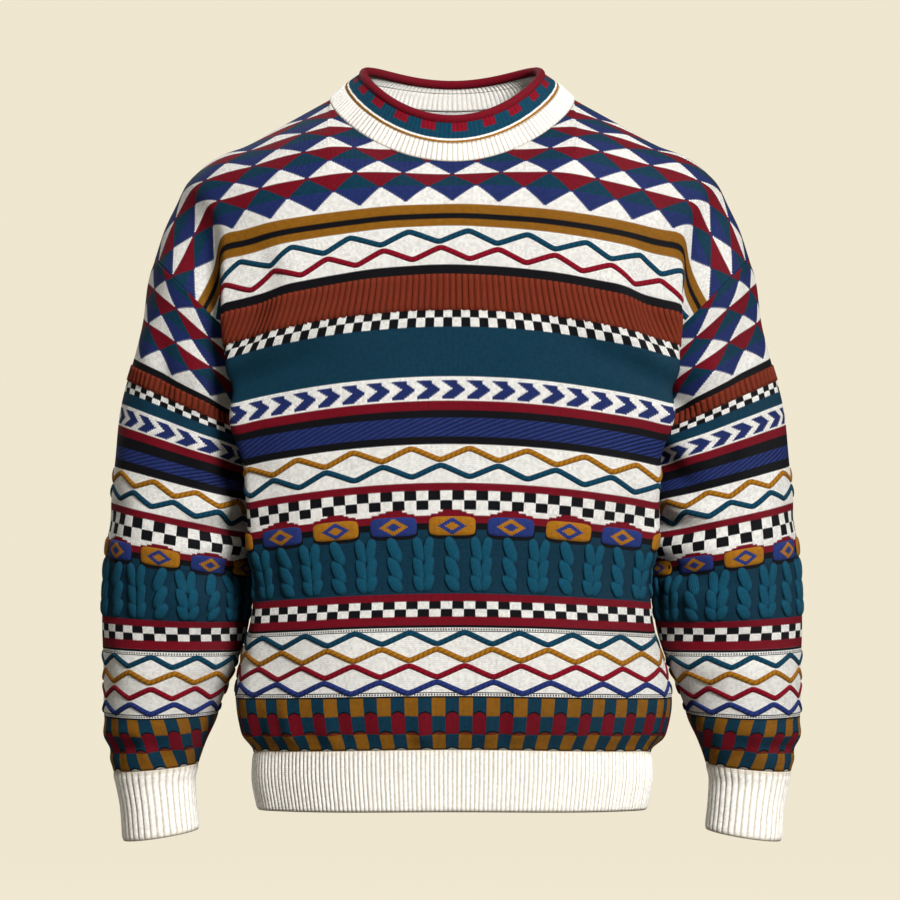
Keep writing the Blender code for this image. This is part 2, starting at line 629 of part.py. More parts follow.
def sleeve_courses():
    """Outer rows of a sleeve below the armhole, in order."""
    courses = []
    for s in SLEEVE_PLAIN_ROWS:
        courses.append(level_course(s, sleeve_columns(s, SLEEVE_ZIGZAG_HALF)))
    for index, centre in enumerate(SLEEVE_CORDS):
        u = sleeve_columns(centre, SLEEVE_ZIGZAG_HALF)
        fade = np.where(u < u[-1], 1.0, 0.0)
        courses += cord_courses(centre, u, SLEEVE_ZIGZAG_HALF, index % 2, fade)
    half = sleeve_half_width(SLEEVE_PADS)
    columns = sleeve_columns(SLEEVE_PADS, SLEEVE_ZIGZAG_HALF)
    pads = raised_columns(SLEEVE_PAD_STEP, SLEEVE_PAD_HALF[:1], PAD_EDGE, half - PAD_EDGE, half)
    courses += band_courses(SLEEVE_PADS - SLEEVE_PAD_HALF[1], SLEEVE_PADS + SLEEVE_PAD_HALF[1],
                            PAD_EDGE, columns, pads, PAD_HEIGHT)
    half = sleeve_half_width(np.mean(SLEEVE_CABLES))
    columns = sleeve_columns(np.mean(SLEEVE_CABLES), SLEEVE_ZIGZAG_HALF)
    cables = raised_columns(SLEEVE_CABLE_STEP, CABLE_HALF, CABLE_EDGE, half - PAD_EDGE, half)
    courses += band_courses(*SLEEVE_CABLES, CABLE_EDGE, columns, cables, CABLE_HEIGHT)
    return sorted(courses, key=lambda course: course[0])


def armhole_row(patch, heights, depth, mirror):
    """The sleeve's first row, which faces the ends of the panels' rows."""
    turns = np.array([armhole_turn(v, 1) for v in heights if v <= UNDERARM])
    turns = np.unique(np.clip(turns, 0.0, 1.0))
    turn = np.concatenate((-turns[:0:-1], turns[:-1]))
    start = np.zeros(len(turn))
    points, normals = patch.read(turn, start)
    points = points + patch.shift(turn, start) + normals * depth
    return turn, points * (mirror, 1, 1)


def sleeve_rows(patch, outer_v, inner_v, mirror):
    outer = [armhole_row(patch, outer_v, 0.0, mirror)]
    inner = [armhole_row(patch, inner_v, -WALL, mirror)]
    for _, u, s, height in sleeve_courses():
        s = np.minimum(s, SLEEVE_END - SEAM_GAP / 2)
        outer.append(closed_row(patch, u, s, height, mirror))
    for place in SLEEVE_INNER_ROWS:
        _, u, s, height = level_course(place, sleeve_columns(place, INNER_STEP), -WALL)
        s = np.minimum(s, SLEEVE_END - SEAM_GAP / 2)
        inner.append(closed_row(patch, u, s, height, mirror))
    return outer, inner


def cuff_rows(patch, mirror):
    top = SLEEVE_END + SEAM_GAP / 2
    ribs, relief = rib_columns(0.0, 1.0, CUFF_RIBS // 2)
    outer = [closed_row(patch, *level_course(top, sleeve_columns(SLEEVE_END, SLEEVE_ZIGZAG_HALF))[1:],
                        mirror)]
    for s in (SLEEVE_END + RIB_START, CUFF_WAIST, CUFF_END):
        outer.append(closed_row(patch, *level_course(s, ribs, relief)[1:], mirror))
    inner = []
    for s in (top, SLEEVE_END + RIB_START, CUFF_WAIST, CUFF_END):
        u = sleeve_columns(SLEEVE_END, INNER_STEP)
        inner.append(closed_row(patch, *level_course(s, u, -WALL)[1:], mirror))
    return outer, inner


def neck_row(patch, angles, level, height):
    """A closed row round the neck, from the front centre; the left half mirrors the right."""
    half = angles[angles <= math.pi + 1e-9]
    level = np.full(len(half), level)
    points, normals = patch.read(np.minimum(half, math.pi), level)
    points = points + patch.shift(np.minimum(half, math.pi), level)
    points = points + normals * np.resize(height, len(half))[:, None]
    left = points[-2:0:-1] * (-1, 1, 1)
    return angles, np.concatenate((points, left))


def neck_rib_rows(patch):
    plain = np.radians(np.arange(0.0, 359.9, NECK_STEP))
    ribs = np.arange(2 * NECK_RIBS) * math.pi / NECK_RIBS
    relief = [0.0, RIB_HEIGHT]
    top = 1.0 - NECK_GAP
    outer = [neck_row(patch, plain, 0.0, [0.0]), neck_row(patch, ribs, 0.12, relief),
             neck_row(patch, ribs, 0.90, relief), neck_row(patch, plain, top, [0.0])]
    inner = [neck_row(patch, plain, level, [-WALL]) for level in (0.0, 0.5, top)]
    return outer, inner


def neck_band_rows(patch):
    """Rings of the patterned band, over its rolled edge and down the inside."""
    plain = np.radians(np.arange(0.0, 359.9, NECK_STEP))
    rows = [neck_row(patch, plain, level, [0.0])[1] for level in (1.0 + NECK_GAP, 1.5, 2.0)]
    inside = [neck_row(patch, plain, level, [-WALL])[1] for level in (1.0 + NECK_GAP, 1.5, 2.0)]
    out = unit(rows[2] - inside[2])
    rise = unit(rows[2] - rows[1])
    middle = (rows[2] + inside[2]) / 2 + rise * ROLL_RADIUS * 0.8 + out * ROLL_RADIUS * 0.25
    for degrees in range(-30, 211, 40):
        angle = math.radians(degrees)
        rows.append(middle + (out * math.cos(angle) + rise * math.sin(angle)) * ROLL_RADIUS)
    return [(plain, row) for row in rows], [(plain, row) for row in inside]


def away_from_middle(place):
    """Rows that are numbered from their middle."""
    return place >= 0.0


def away_from_front_and_back(place):
    """Rows round the neck, numbered by their angle from the front."""
    return math.sin(2.0 * place) >= 0.0


def zip_rows(first, second, faces, away=away_from_middle):
    """Triangles between two facing rows of (place, vertex).

    Rows with equal places get mirror-image diagonals on the two halves of the garment, so that
    the edges of two pieces have the same facets where they face each other along a seam.
    """
    i = j = 0
    while i < len(first) - 1 or j < len(second) - 1:
        step_first = j == len(second) - 1
        if not step_first and i < len(first) - 1:
            middle = (first[i][0] + first[i + 1][0]) / 2
            ahead = middle - (second[j][0] + second[j + 1][0]) / 2
            step_first = ahead < 0.0 if abs(ahead) > SAME_PLACE else away(middle)
        if step_first:
            faces.append((first[i][1], second[j][1], first[i + 1][1]))
            i += 1
        else:
            faces.append((first[i][1], second[j][1], second[j + 1][1]))
            j += 1


def add_wall(name, outer, inner, colour, collection, period=0.0, ends=None, away=away_from_middle):
    """A closed wall from its outer and inner rows.

    A period closes each row on itself. Without one, ends gives the place of each outer and inner
    row along the two seams that the rows end at.
    """
    points, rows = [], []
    for distances, row_points in outer + inner:
        start = len(points)
        row = [(distance, start + k) for k, distance in enumerate(distances)]
        if period:
            row.append((row[0][0] + period, start))
        rows.append(row)
        points.extend(row_points)
    faces = []
    outside, inside = rows[:len(outer)], rows[len(outer):]
    for sheet in (outside, inside):
        for above, below in zip(sheet[:-1], sheet[1:]):
            zip_rows(above, below, faces, away)
    zip_rows(outside[0], inside[0], faces, away)
    zip_rows(outside[-1], inside[-1], faces, away)
    if not period:
        for end in (0, -1):
            edges = [[(place, row[end][1]) for place, row in zip(places, sheet)]
                     for places, sheet in zip(ends, (outside, inside))]
            zip_rows(*edges, faces)
    mesh = bpy.data.meshes.new(name)
    mesh.from_pydata([tuple(point) for point in points], [], faces)
    shape = bmesh.new()
    shape.from_mesh(mesh)
    bmesh.ops.recalc_face_normals(shape, faces=shape.faces)
    shape.to_mesh(mesh)
    shape.free()
    mesh.shade_smooth()
    material = bpy.data.materials.new(name + "_knit")
    material.use_nodes = True
    surface = material.node_tree.nodes["Principled BSDF"]
    surface.inputs["Base Color"].default_value = (*colour, 1.0)
    surface.inputs["Roughness"].default_value = 0.9
    surface.inputs["Metallic"].default_value = 0.0
    mesh.materials.append(material)
    piece = bpy.data.objects.new(name, mesh)
    collection.objects.link(piece)
    return piece


def main():
    for thing in list(bpy.data.objects):
        bpy.data.objects.remove(thing, do_unlink=True)
    collection = bpy.data.collections.new("crewneck_sweater")
    bpy.context.scene.collection.children.link(collection)
    garment = Garment()
    for side, patch, drop in (("front", garment.front, NECK_DROP),
                              ("back", garment.back, BACK_NECK_DROP)):
        outer, inner, outer_v, inner_v = panel_rows(patch, drop)
        ends = [seam_places(heights) for heights in (outer_v, inner_v)]
        add_wall(side, outer, inner, TEAL, collection, ends=ends)
        outer, inner = welt_rows(patch, drop)
        add_wall("welt_" + side, outer, inner, ECRU, collection, ends=[range(3), range(3)])
    for side, mirror in (("left", -1), ("right", 1)):
        outer, inner = sleeve_rows(garment.sleeve, outer_v, inner_v, mirror)
        add_wall("sleeve_" + side, outer, inner, NAVY, collection, period=2.0)
        outer, inner = cuff_rows(garment.sleeve, mirror)
        add_wall("cuff_" + side, outer, inner, ECRU, collection, period=2.0)
    outer, inner = neck_rib_rows(garment.neck)
    add_wall("neck_rib", outer, inner, ECRU, collection, 2 * math.pi,
             away=away_from_front_and_back)
    outer, inner = neck_band_rows(garment.neck)
    add_wall("neck_band", outer, inner, BURGUNDY, collection, 2 * math.pi,
             away=away_from_front_and_back)


main()
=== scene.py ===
"""Crewneck sweater: the knitted looks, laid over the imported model.

Flat places are in metres: across from the centre line and down from the neck point on the panels,
round from the outer line and down from the armhole on the sleeves. Front is -Y and up is +Z.
"""

import math

import bpy
import numpy as np
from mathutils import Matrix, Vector


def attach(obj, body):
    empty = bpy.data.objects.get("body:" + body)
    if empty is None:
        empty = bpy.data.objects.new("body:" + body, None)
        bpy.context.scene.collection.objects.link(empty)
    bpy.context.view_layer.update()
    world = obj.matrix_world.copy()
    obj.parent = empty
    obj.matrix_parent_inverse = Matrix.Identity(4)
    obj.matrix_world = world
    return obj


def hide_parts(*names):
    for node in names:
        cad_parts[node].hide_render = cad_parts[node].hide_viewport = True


bl_info = {
    "name": "Crewneck Sweater Knit",
    "version": (1, 0, 0),
    "blender": (4, 5, 0),
    "location": "View3D > Sidebar > Sweater",
    "description": "Knits the panels, sleeves, ribs and raised trims of a patterned sweater",
    "category": "Add Mesh",
}

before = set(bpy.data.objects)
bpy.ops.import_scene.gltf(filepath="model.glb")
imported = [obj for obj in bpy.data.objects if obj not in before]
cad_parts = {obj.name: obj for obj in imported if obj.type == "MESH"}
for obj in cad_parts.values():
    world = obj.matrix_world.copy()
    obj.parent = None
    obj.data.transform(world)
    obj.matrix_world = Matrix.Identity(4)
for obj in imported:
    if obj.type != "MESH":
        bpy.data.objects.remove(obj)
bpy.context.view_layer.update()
MM = 0.001
WALL = 0.0026            # thickness of the knitted cloth
PANELS = ("front", "back")
SLEEVES = ("sleeve_left", "sleeve_right")

# Cut of the panels and sleeves, laid flat
HALF_WIDTH = 0.315
NECK_HALF = 0.115
SHOULDER_DROP = 0.060
YOKE_END = 0.175         # the first course that runs straight across
UNDERARM = 0.330
PANEL_END = 0.670
HEM_END = 0.727
SLEEVE_END = 0.485
CUFF_END = 0.554
NECK_FACING = 0.083      # how far down the linked edge reaches inside the neck

# The armhole loop and the way the panels and sleeves leave it
ARMHOLE_TOP = np.array([0.279, 0.006, -0.148])
ARMHOLE_BOTTOM = np.array([0.176, 0.006, -0.250])
ARMHOLE_DEPTH = 0.074
ARMHOLE_EASE = 1.1       # draws the armhole's points a little towards the shoulder
SLEEVE_BLEND = 0.070     # the stretch in which the sleeve leaves the armhole's edge
SIDE_Y = 0.006
YOKE_FALL_FRONT = 0.55   # how steeply the yoke leaves the neckline
YOKE_FALL_BACK = 0.16
YOKE_FALL_TIP = 0.08
YOKE_ROUND = 1.17        # how far the yoke swells over the shoulder
SLOPE_STEP = 0.003       # distance over which a course's slope is taken

# Half of the flat sleeve's width, by distance below the armhole
SLEEVE_TAPER = ((0.0, 0.250), (0.096, 0.226), (0.285, 0.222), (0.352, 0.211), (0.425, 0.182),
                (0.465, 0.154), (0.485, 0.134), (0.500, 0.119), (0.554, 0.115))

# Bands of the charts, in mm down the cloth: kind, first and last height, then the yarn, or the
# width of one repeat
BODY_CHART = (
    ("lattice", -80.0, 171.5, 45.0),
    ("plain", 175.0, 182.4, "ochre"), ("plain", 182.4, 188.8, "black"),
    ("plain", 188.8, 195.7, "ochre"), ("plain", 231.0, 238.8, "black"),
    ("plain", 238.8, 272.0, "rust"), ("checks", 272.0, 286.0, 9.0),
    ("plain", 286.0, 332.6, "teal"), ("chevrons", 334.2, 354.0, 22.5),
    ("plain", 354.0, 363.0, "burgundy"), ("plain", 363.0, 370.7, "black"),
    ("braid", 370.7, 386.5, "navy"), ("plain", 386.5, 394.6, "black"),
    ("plain", 427.7, 433.9, "burgundy"), ("checks", 433.9, 451.0, 11.25),
    ("purl", 474.0, 527.6, "teal"), ("scallops", 451.0, 474.0, 56.0),
    ("plain", 527.6, 534.4, "burgundy"),
    ("checks", 534.4, 549.2, 11.25), ("plain", 549.2, 556.4, "burgundy"),
    ("line", 556.0, 558.2, "black"), ("dots", 558.9, 560.6, 2.6), ("line", 561.0, 561.8, "black"),
    ("line", 615.6, 616.5, "black"), ("dots", 616.9, 618.6, 2.6), ("tiles", 620.0, 670.5, 12.6),
    ("line", 619.0, 620.6, "black"),
)
SLEEVE_CHART = (
    ("lattice", -80.0, 93.5, 45.0), ("plain", 96.0, 103.0, "black"),
    ("plain", 103.0, 118.0, "rust"), ("checks", 118.0, 128.0, 9.0),
    ("plain", 128.0, 141.0, "teal"), ("chevrons", 142.0, 161.0, 22.5),
    ("plain", 161.0, 170.0, "burgundy"), ("plain", 170.0, 179.0, "black"),
    ("braid", 179.0, 191.0, "navy"), ("plain", 191.0, 199.5, "black"),
    ("plain", 234.5, 241.0, "burgundy"), ("checks", 241.0, 262.0, 11.25),
    ("purl", 284.0, 341.5, "teal"), ("scallops", 262.0, 284.0, 49.0),
    ("plain", 341.5, 347.6, "burgundy"),
    ("checks", 347.6, 361.0, 11.25), ("plain", 361.0, 370.0, "burgundy"),
    ("line", 369.6, 371.8, "black"), ("dots", 372.5, 374.2, 2.6), ("line", 374.6, 375.4, "black"),
    ("line", 430.2, 431.1, "black"), ("dots", 431.5, 433.2, 2.6), ("tiles", 434.5, 485.5, 12.6),
    ("line", 433.6, 435.2, "black"),
)
LATTICE_PITCH = 34.0     # height of one repeat of the lattice (mm)
PURL_PITCH = 2.1
BRAID_PITCH = 9.5
BRAID_SLOPE = 2.4

# Zigzag cords: height on the cloth, yarn, half a period and the place of a crest (mm)
BODY_CORDS = (
    (204.4, "teal", 31.0, 17.0), (220.0, "burgundy", 31.0, -12.0), (402.3, "ochre", 26.8, 16.0),
    (417.2, "teal", 26.8, -10.5), (567.5, "teal", 26.3, 12.0), (582.2, "ochre", 26.3, -14.3),
    (596.9, "burgundy", 26.3, 12.0), (611.5, "navy", 26.3, -14.3))
SLEEVE_CORDS = (
    (208.0, "ochre", 21.5, 0.0), (223.0, "teal", 21.5, 21.5), (381.0, "teal", 21.5, 0.0),
    (395.7, "ochre", 21.5, 21.5), (410.4, "burgundy", 21.5, 0.0), (425.0, "navy", 21.5, 21.5))
CORD_YARNS = ("teal", "burgundy", "ochre", "navy")
CORD_RISE = {"body": 0.0049, "sleeve": 0.0044}    # half the height of a zigzag
CORD_STEP = 0.0025       # distance between a cord's points
CORD_ROUND = 0.965       # 1 gives a zigzag sharp corners
CORD_SINK = 0.15         # share of a cord's height that lies under the cloth's face

# Cables: first and last height and the distance from one to the next
CABLE_ROWS = {"body": (0.4755, 0.5268, 0.028), "sleeve": (0.2850, 0.3408, 0.0245)}
CABLE_CROSSINGS = 3
CABLE_OVERLAP = 1.45     # length of a strand in crossings
CABLE_HEIGHT = 0.0021
# Strands of a cable: how far aside each starts and ends, and half of its width
DOUBLE_CABLE = ((-0.0066, -0.0028, 0.0052), (0.0066, 0.0028, 0.0052))
SINGLE_CABLE = ((-0.0036, 0.0034, 0.0058),)
# Pads: height on the cloth, the distance from one to the next and half of a pad's size
PAD_ROWS = {"body": (0.4663, 0.056, (0.0225, 0.0090)), "sleeve": (0.2756, 0.049, (0.0195, 0.0092))}
PAD_HEIGHT = 0.0022
PAD_SQUARE = 5.0         # 2 gives an oval pad, and more gives it squarer corners
PAD_SINK = 0.0004
# Rust ribs: first and last height and the number of points down a rib
RUST_ROWS = {"body": (0.2392, 0.2716, 8), "sleeve": (0.1034, 0.1176, 5)}
RUST_STEP = 0.0066

MIDDLE = (0.0, 0.0, -0.33)    # what the lights face
CAMERA_PLACE = (-0.002, -3.2, -0.329)
CAMERA_LENS = 136.2
CAMERA_SENSOR = 36.0


class Sections:
    """A short table with named columns in millimetres, read as smooth curves of its first one."""

    def __init__(self, names, rows):
        data = np.array(rows, dtype=float) * MM
        self.key = data[:, 0]
        self.values = dict(zip(names.split()[1:], data[:, 1:].T))
        self.slopes = {name: self._slopes(column) for name, column in self.values.items()}

    def _slopes(self, column):
        steps = np.diff(column) / np.diff(self.key)
        slopes = np.zeros(len(column))
        slopes[0], slopes[-1] = steps[0], steps[-1]
        for i in range(1, len(column) - 1):
            if steps[i - 1] * steps[i] > 0.0:
                slopes[i] = 2.0 * steps[i - 1] * steps[i] / (steps[i - 1] + steps[i])
        return slopes

    def at(self, name, key):
        column, slope = self.values[name], self.slopes[name]
        i = np.clip(np.searchsorted(self.key, key) - 1, 0, len(self.key) - 2)
        width = self.key[i + 1] - self.key[i]
        t = (key - self.key[i]) / width
        start = (1 + 2 * t) * (1 - t) ** 2 * column[i] + t * (1 - t) ** 2 * width * slope[i]
        end = t * t * (3 - 2 * t) * column[i + 1] + t * t * (t - 1) * width * slope[i + 1]
        return start + end

    def point(self, prefix, key):
        return np.array([self.at(prefix + axis, key) for axis in ("_x", "_y", "_z")])


# Rows of the panels in mm: the centre line, the edge where the chest turns back to the arm, and
# the fold between the chest and the sleeve. The hem rib is the last three rows.
FRONT_SECTIONS = Sections(
    "v centre_y centre_z edge_x edge_y edge_z fold_x fold_y fold_z", (
        (175, -118, -107, 210, -74, -132, 218, -60, -154),
        (231, -126, -162, 210, -86, -197, 203, -68, -213),
        (283, -131, -214, 207, -92, -243, 191, -58, -244),
        (340, -134, -270, 197, -95, -293, 184, -50, -277),
        (395, -136, -325, 190, -97, -345, 180, -52, -331),
        (451, -138, -382, 184, -95, -399, 178, -50, -388),
        (528, -142, -458, 179, -88, -468, 179, -45, -463),
        (584, -150, -514, 185, -88, -522, 195, -45, -521),
        (620, -154, -550, 188, -95, -556, 201, -50, -558),
        (651, -150, -581, 183, -92, -587, 195, -48, -590),
        (670, -143, -598, 173, -90, -604, 184, -46, -609),
        (690, -140, -618, 174, -89, -625, 185, -46, -630),
        (727, -137, -655, 170, -86, -659, 180, -44, -661)))
BACK_SECTIONS = Sections(
    "v centre_y centre_z edge_x edge_y edge_z fold_x fold_y fold_z", (
        (175, 112, -98, 208, 76, -129, 216, 66, -152),
        (231, 119, -153, 208, 88, -193, 204, 72, -212),
        (283, 121, -205, 204, 92, -239, 192, 62, -243),
        (340, 121, -262, 195, 92, -289, 184, 56, -276),
        (395, 121, -317, 188, 92, -341, 180, 56, -330),
        (451, 122, -374, 183, 90, -395, 178, 54, -387),
        (528, 126, -451, 179, 84, -466, 179, 49, -462),
        (584, 134, -508, 185, 84, -520, 195, 50, -520),
        (620, 138, -544, 188, 90, -555, 201, 54, -558),
        (651, 134, -576, 183, 88, -587, 195, 52, -590),
        (670, 128, -593, 173, 86, -604, 184, 50, -609),
        (690, 125, -613, 174, 85, -625, 185, 50, -630),
        (727, 122, -651, 170, 82, -659, 180, 48, -661)))
SIDE_SECTIONS = Sections(
    "v seam_x seam_z", (
        (330, 176, -250), (345, 172, -266), (362, 170, -284), (395, 170, -319),
        (451, 171, -378), (528, 176, -460), (584, 195, -520), (620, 203, -558),
        (651, 197, -591), (670, 185, -612), (690, 186, -632), (727, 181, -662)))
SHOULDER_SECTIONS = Sections(
    "u seam_x seam_y seam_z", (
        (115, 115, 0, 0), (150, 155, 1, -22), (182, 193, 2, -43), (205, 218, 3, -53),
        (228, 241, 4, -70), (240, 250, 4, -80), (258, 259, 5, -98), (285, 270.5, 6, -122),
        (315, 279, 6, -148)))
# Rings of the sleeve in mm: outer point, inner point, middle and half size from front to back.
SLEEVE_SECTIONS = Sections(
    "s outer_x outer_z inner_x inner_z middle_y depth", (
        (0, 279, -148, 176, -250, 6, 74), (25, 285, -172, 180, -264, 6, 74),
        (54, 289.5, -200, 181, -280, 5, 74), (96, 299.4, -241.6, 181, -303, 4, 73),
        (144, 309.7, -288.6, 182, -335, 2, 72), (190, 315, -334, 184, -370, 0, 71),
        (256, 323.8, -399.5, 186, -425, -3, 71), (285, 325.7, -428.6, 187, -447, -4, 71),
        (327, 326.6, -470, 189, -478, -6, 69), (352, 326.6, -494, 192, -498, -7, 67),
        (390, 326.6, -532, 204, -534, -9, 64), (425, 326.6, -568, 217, -567, -11, 60),
        (440, 324.5, -583, 220.5, -580, -12, 57), (465, 320.5, -608, 230, -601, -13, 51),
        (485, 317, -628, 237, -621, -14, 43), (500, 313, -645, 241, -637, -14, 39),
        (520, 309.5, -664, 240, -656, -15, 38), (554, 307.4, -693.7, 237, -683, -16, 37)))
# Rings of the neckband in mm, by level: 0 is the neckline, 1 the top of the ecru rib and 2 the foot
# of the rolled edge. The level is written as 1000 for each step, so that it reads as 1 in metres.
NECK_SECTIONS = Sections(
    "level half_x front_y back_y front_z side_z back_z", (
        (0, 115, -85, 60, -65, 0, -5), (1000, 100, -79, 57, -47.6, 13, 12),
        (2000, 84, -72, 54, -25, 25, 20)))


def unit(vectors):
    return vectors / np.maximum(np.linalg.norm(vectors, axis=-1, keepdims=True), 1e-12)


def lengths_along(points):
    """Distance of each point from the first one, along a line of points."""
    return np.concatenate(([0.0], np.cumsum(np.linalg.norm(np.diff(points, axis=0), axis=1))))


def natural_spline(points, count):
    """Dense points of a natural cubic spline through the given points, by chord length."""
    points = np.array(points)
    knots = lengths_along(points)
    n = len(points)
    width = np.diff(knots)
    matrix = np.eye(n)
    right = np.zeros((n, 3))
    for i in range(1, n - 1):
        matrix[i, i - 1:i + 2] = width[i - 1], 2 * (width[i - 1] + width[i]), width[i]
        right[i] = 6 * ((points[i + 1] - points[i]) / width[i]
                        - (points[i] - points[i - 1]) / width[i - 1])
    bend = np.linalg.solve(matrix, right)
    t = np.linspace(0.0, knots[-1], count)
    i = np.clip(np.searchsorted(knots, t) - 1, 0, n - 2)
    before = (knots[i + 1] - t)[:, None]
    after = (t - knots[i])[:, None]
    h = width[i][:, None]
    return (bend[i] * before ** 3 / (6 * h) + bend[i + 1] * after ** 3 / (6 * h)
            + (points[i] / h - bend[i] * h / 6) * before
            + (points[i + 1] / h - bend[i + 1] * h / 6) * after)


def armhole_angle(v):
    """The turn round the armhole loop at a height on the panel."""
    share = np.clip((v - SHOULDER_DROP) / (UNDERARM - SHOULDER_DROP), 0.0, 1.0)
    return math.pi * share ** (1.0 / ARMHOLE_EASE)


def armhole_point(v, facing):
    """A point of the armhole loop, facing -1 on the front half and +1 on the back half."""
    angle = armhole_angle(v)
    middle = (ARMHOLE_TOP + ARMHOLE_BOTTOM) / 2
    point = middle + math.cos(angle) * (ARMHOLE_TOP - middle)
    point[1] += facing * ARMHOLE_DEPTH * math.sin(angle)
    return point


def neck_ring(angle, level):
    """A point of the neckband's outer face: angle 0 is the front centre, 180 degrees the back."""
    front = max(math.cos(angle), 0.0)
    back = max(-math.cos(angle), 0.0)
    front_z, side_z, back_z = [NECK_SECTIONS.at(name, level)
                               for name in ("front_z", "side_z", "back_z")]
    tilt = (front_z - back_z) / 2
    dip = (front_z + back_z) / 4 - side_z / 2
    return np.array([
        NECK_SECTIONS.at("half_x", level) * math.sin(angle),
        NECK_SECTIONS.at("front_y", level) * front + NECK_SECTIONS.at("back_y", level) * back,
        side_z + dip + tilt * math.cos(angle) + dip * math.cos(2 * angle)])


def panel_row(v, sections, facing, columns):
    """One course of a panel from its centre to its seam, at the given distances u."""
    centre = np.array([0.0, sections.at("centre_y", v), sections.at("centre_z", v)])
    edge = sections.point("edge", v)
    controls = [centre]
    for q in (0.35, 0.60, 0.80, 0.93, 1.0):
        weight = np.array([q, q ** 3.2, q ** 2])
        controls.append(centre + (edge - centre) * weight)
    controls.append(sections.point("fold", v))
    if v <= UNDERARM:
        controls.append(armhole_point(v, facing))
    else:
        controls.append(np.array([SIDE_SECTIONS.at("seam_x", v), SIDE_Y,
                                  SIDE_SECTIONS.at("seam_z", v)]))
    mirrored = [point * (-1, 1, 1) for point in controls[:0:-1]]
    curve = natural_spline(mirrored + controls, 801)[400:]
    length = lengths_along(curve)
    flat = length * HALF_WIDTH / length[-1]
    return np.stack([np.interp(columns, flat, curve[:, i]) for i in range(3)], axis=1)


def yoke_column(u, end, slope, facing, t):
    """A column of the yoke, from the neckline or shoulder over to the first full course."""
    if u < NECK_HALF:
        turn = math.asin(u / NECK_HALF)
        start = neck_ring(turn if facing < 0 else math.pi - turn, 0.0)
    else:
        start = SHOULDER_SECTIONS.point("seam", u)
    side = min(u / NECK_HALF, 1.0) ** 2
    out = max(u - NECK_HALF, 0.0) / (HALF_WIDTH - NECK_HALF)
    fall = YOKE_FALL_FRONT if facing < 0 else YOKE_FALL_BACK
    steep = np.array([0.0, facing * 0.60, -0.80])
    level = unit(np.array([0.0, facing, -fall * max(1.0 - 2.5 * out, 0.0) - YOKE_FALL_TIP * out]))
    chord = np.linalg.norm(end - start) * YOKE_ROUND
    leave = unit(steep * (1 - side) + level * side) * chord
    arrive = unit(slope) * chord
    t = t[:, None]
    return ((1 + 2 * t) * (1 - t) ** 2 * start + t * (1 - t) ** 2 * leave
            + t * t * (3 - 2 * t) * end + t * t * (t - 1) * arrive)


def sleeve_ring(turn, s):
    """A point of the right-hand sleeve's plain rings; turn runs from -1 to 1, 0 is the outside."""
    angle = math.pi * turn
    outer = np.array([SLEEVE_SECTIONS.at("outer_x", s), 0.0, SLEEVE_SECTIONS.at("outer_z", s)])
    inner = np.array([SLEEVE_SECTIONS.at("inner_x", s), 0.0, SLEEVE_SECTIONS.at("inner_z", s)])
    middle = (outer + inner) / 2
    point = middle + math.cos(angle) * (outer - middle)
    point[1] = (SLEEVE_SECTIONS.at("middle_y", s)
                + SLEEVE_SECTIONS.at("depth", s) * math.sin(angle))
    return point


def armhole_v(turn):
    """The panel's v at a turn of the armhole."""
    return SHOULDER_DROP + (UNDERARM - SHOULDER_DROP) * abs(turn) ** ARMHOLE_EASE


def sleeve_half_width(s):
    """Half of the flat sleeve's width at a distance below the armhole."""
    places, widths = zip(*SLEEVE_TAPER)
    return float(np.interp(s, places, widths))


def smooth(x):
    """A soft step from 0 to 1."""
    x = np.clip(x, 0.0, 1.0)
    return x * x * (3.0 - 2.0 * x)


class Surface:
    """A grid of points and outward normals over flat places, with the place of each point.

    Lines a run across or round and lines b down. A ring's last line a lies on its first.
    """

    def __init__(self, a_lines, b_lines, points, places, ring=False, outward=1):
        self.a_lines, self.b_lines = np.array(a_lines), np.array(b_lines)
        self.points, self.places, self.ring, self.outward = points, places, ring, outward
        self.set_normals()

    def set_normals(self):
        points = self.points
        if self.ring:
            points = np.concatenate((points[:, -2:-1], points, points[:, 1:2]), axis=1)
        across = np.gradient(points, axis=1)
        down = np.gradient(points, axis=0)
        self.normals = unit(np.cross(across, down)) * self.outward
        if self.ring:
            self.normals = self.normals[:, 1:-1]

    def swell(self, heights):
        """Moves the surface out by the given heights."""
        self.points = self.points + self.normals * heights[..., None]
        self.set_normals()

    def read(self, a, b):
        """Points and normals at places between the lines."""
        i = np.clip(np.searchsorted(self.a_lines, a) - 1, 0, len(self.a_lines) - 2)
        j = np.clip(np.searchsorted(self.b_lines, b) - 1, 0, len(self.b_lines) - 2)
        s = ((a - self.a_lines[i]) / (self.a_lines[i + 1] - self.a_lines[i]))[..., None]
        t = ((b - self.b_lines[j]) / (self.b_lines[j + 1] - self.b_lines[j]))[..., None]
        return [(1 - t) * ((1 - s) * grid[j, i] + s * grid[j, i + 1])
                + t * ((1 - s) * grid[j + 1, i] + s * grid[j + 1, i + 1])
                for grid in (self.points, self.normals)]

    def mirrored(self):
        """The same surface on the left of the garment."""
        twin = object.__new__(Surface)
        twin.__dict__.update(self.__dict__)
        twin.points = self.points * (-1, 1, 1)
        twin.normals = self.normals * (-1, 1, 1)
        twin.places = self.places * (-1, 1)
        twin.outward = -self.outward
        return twin


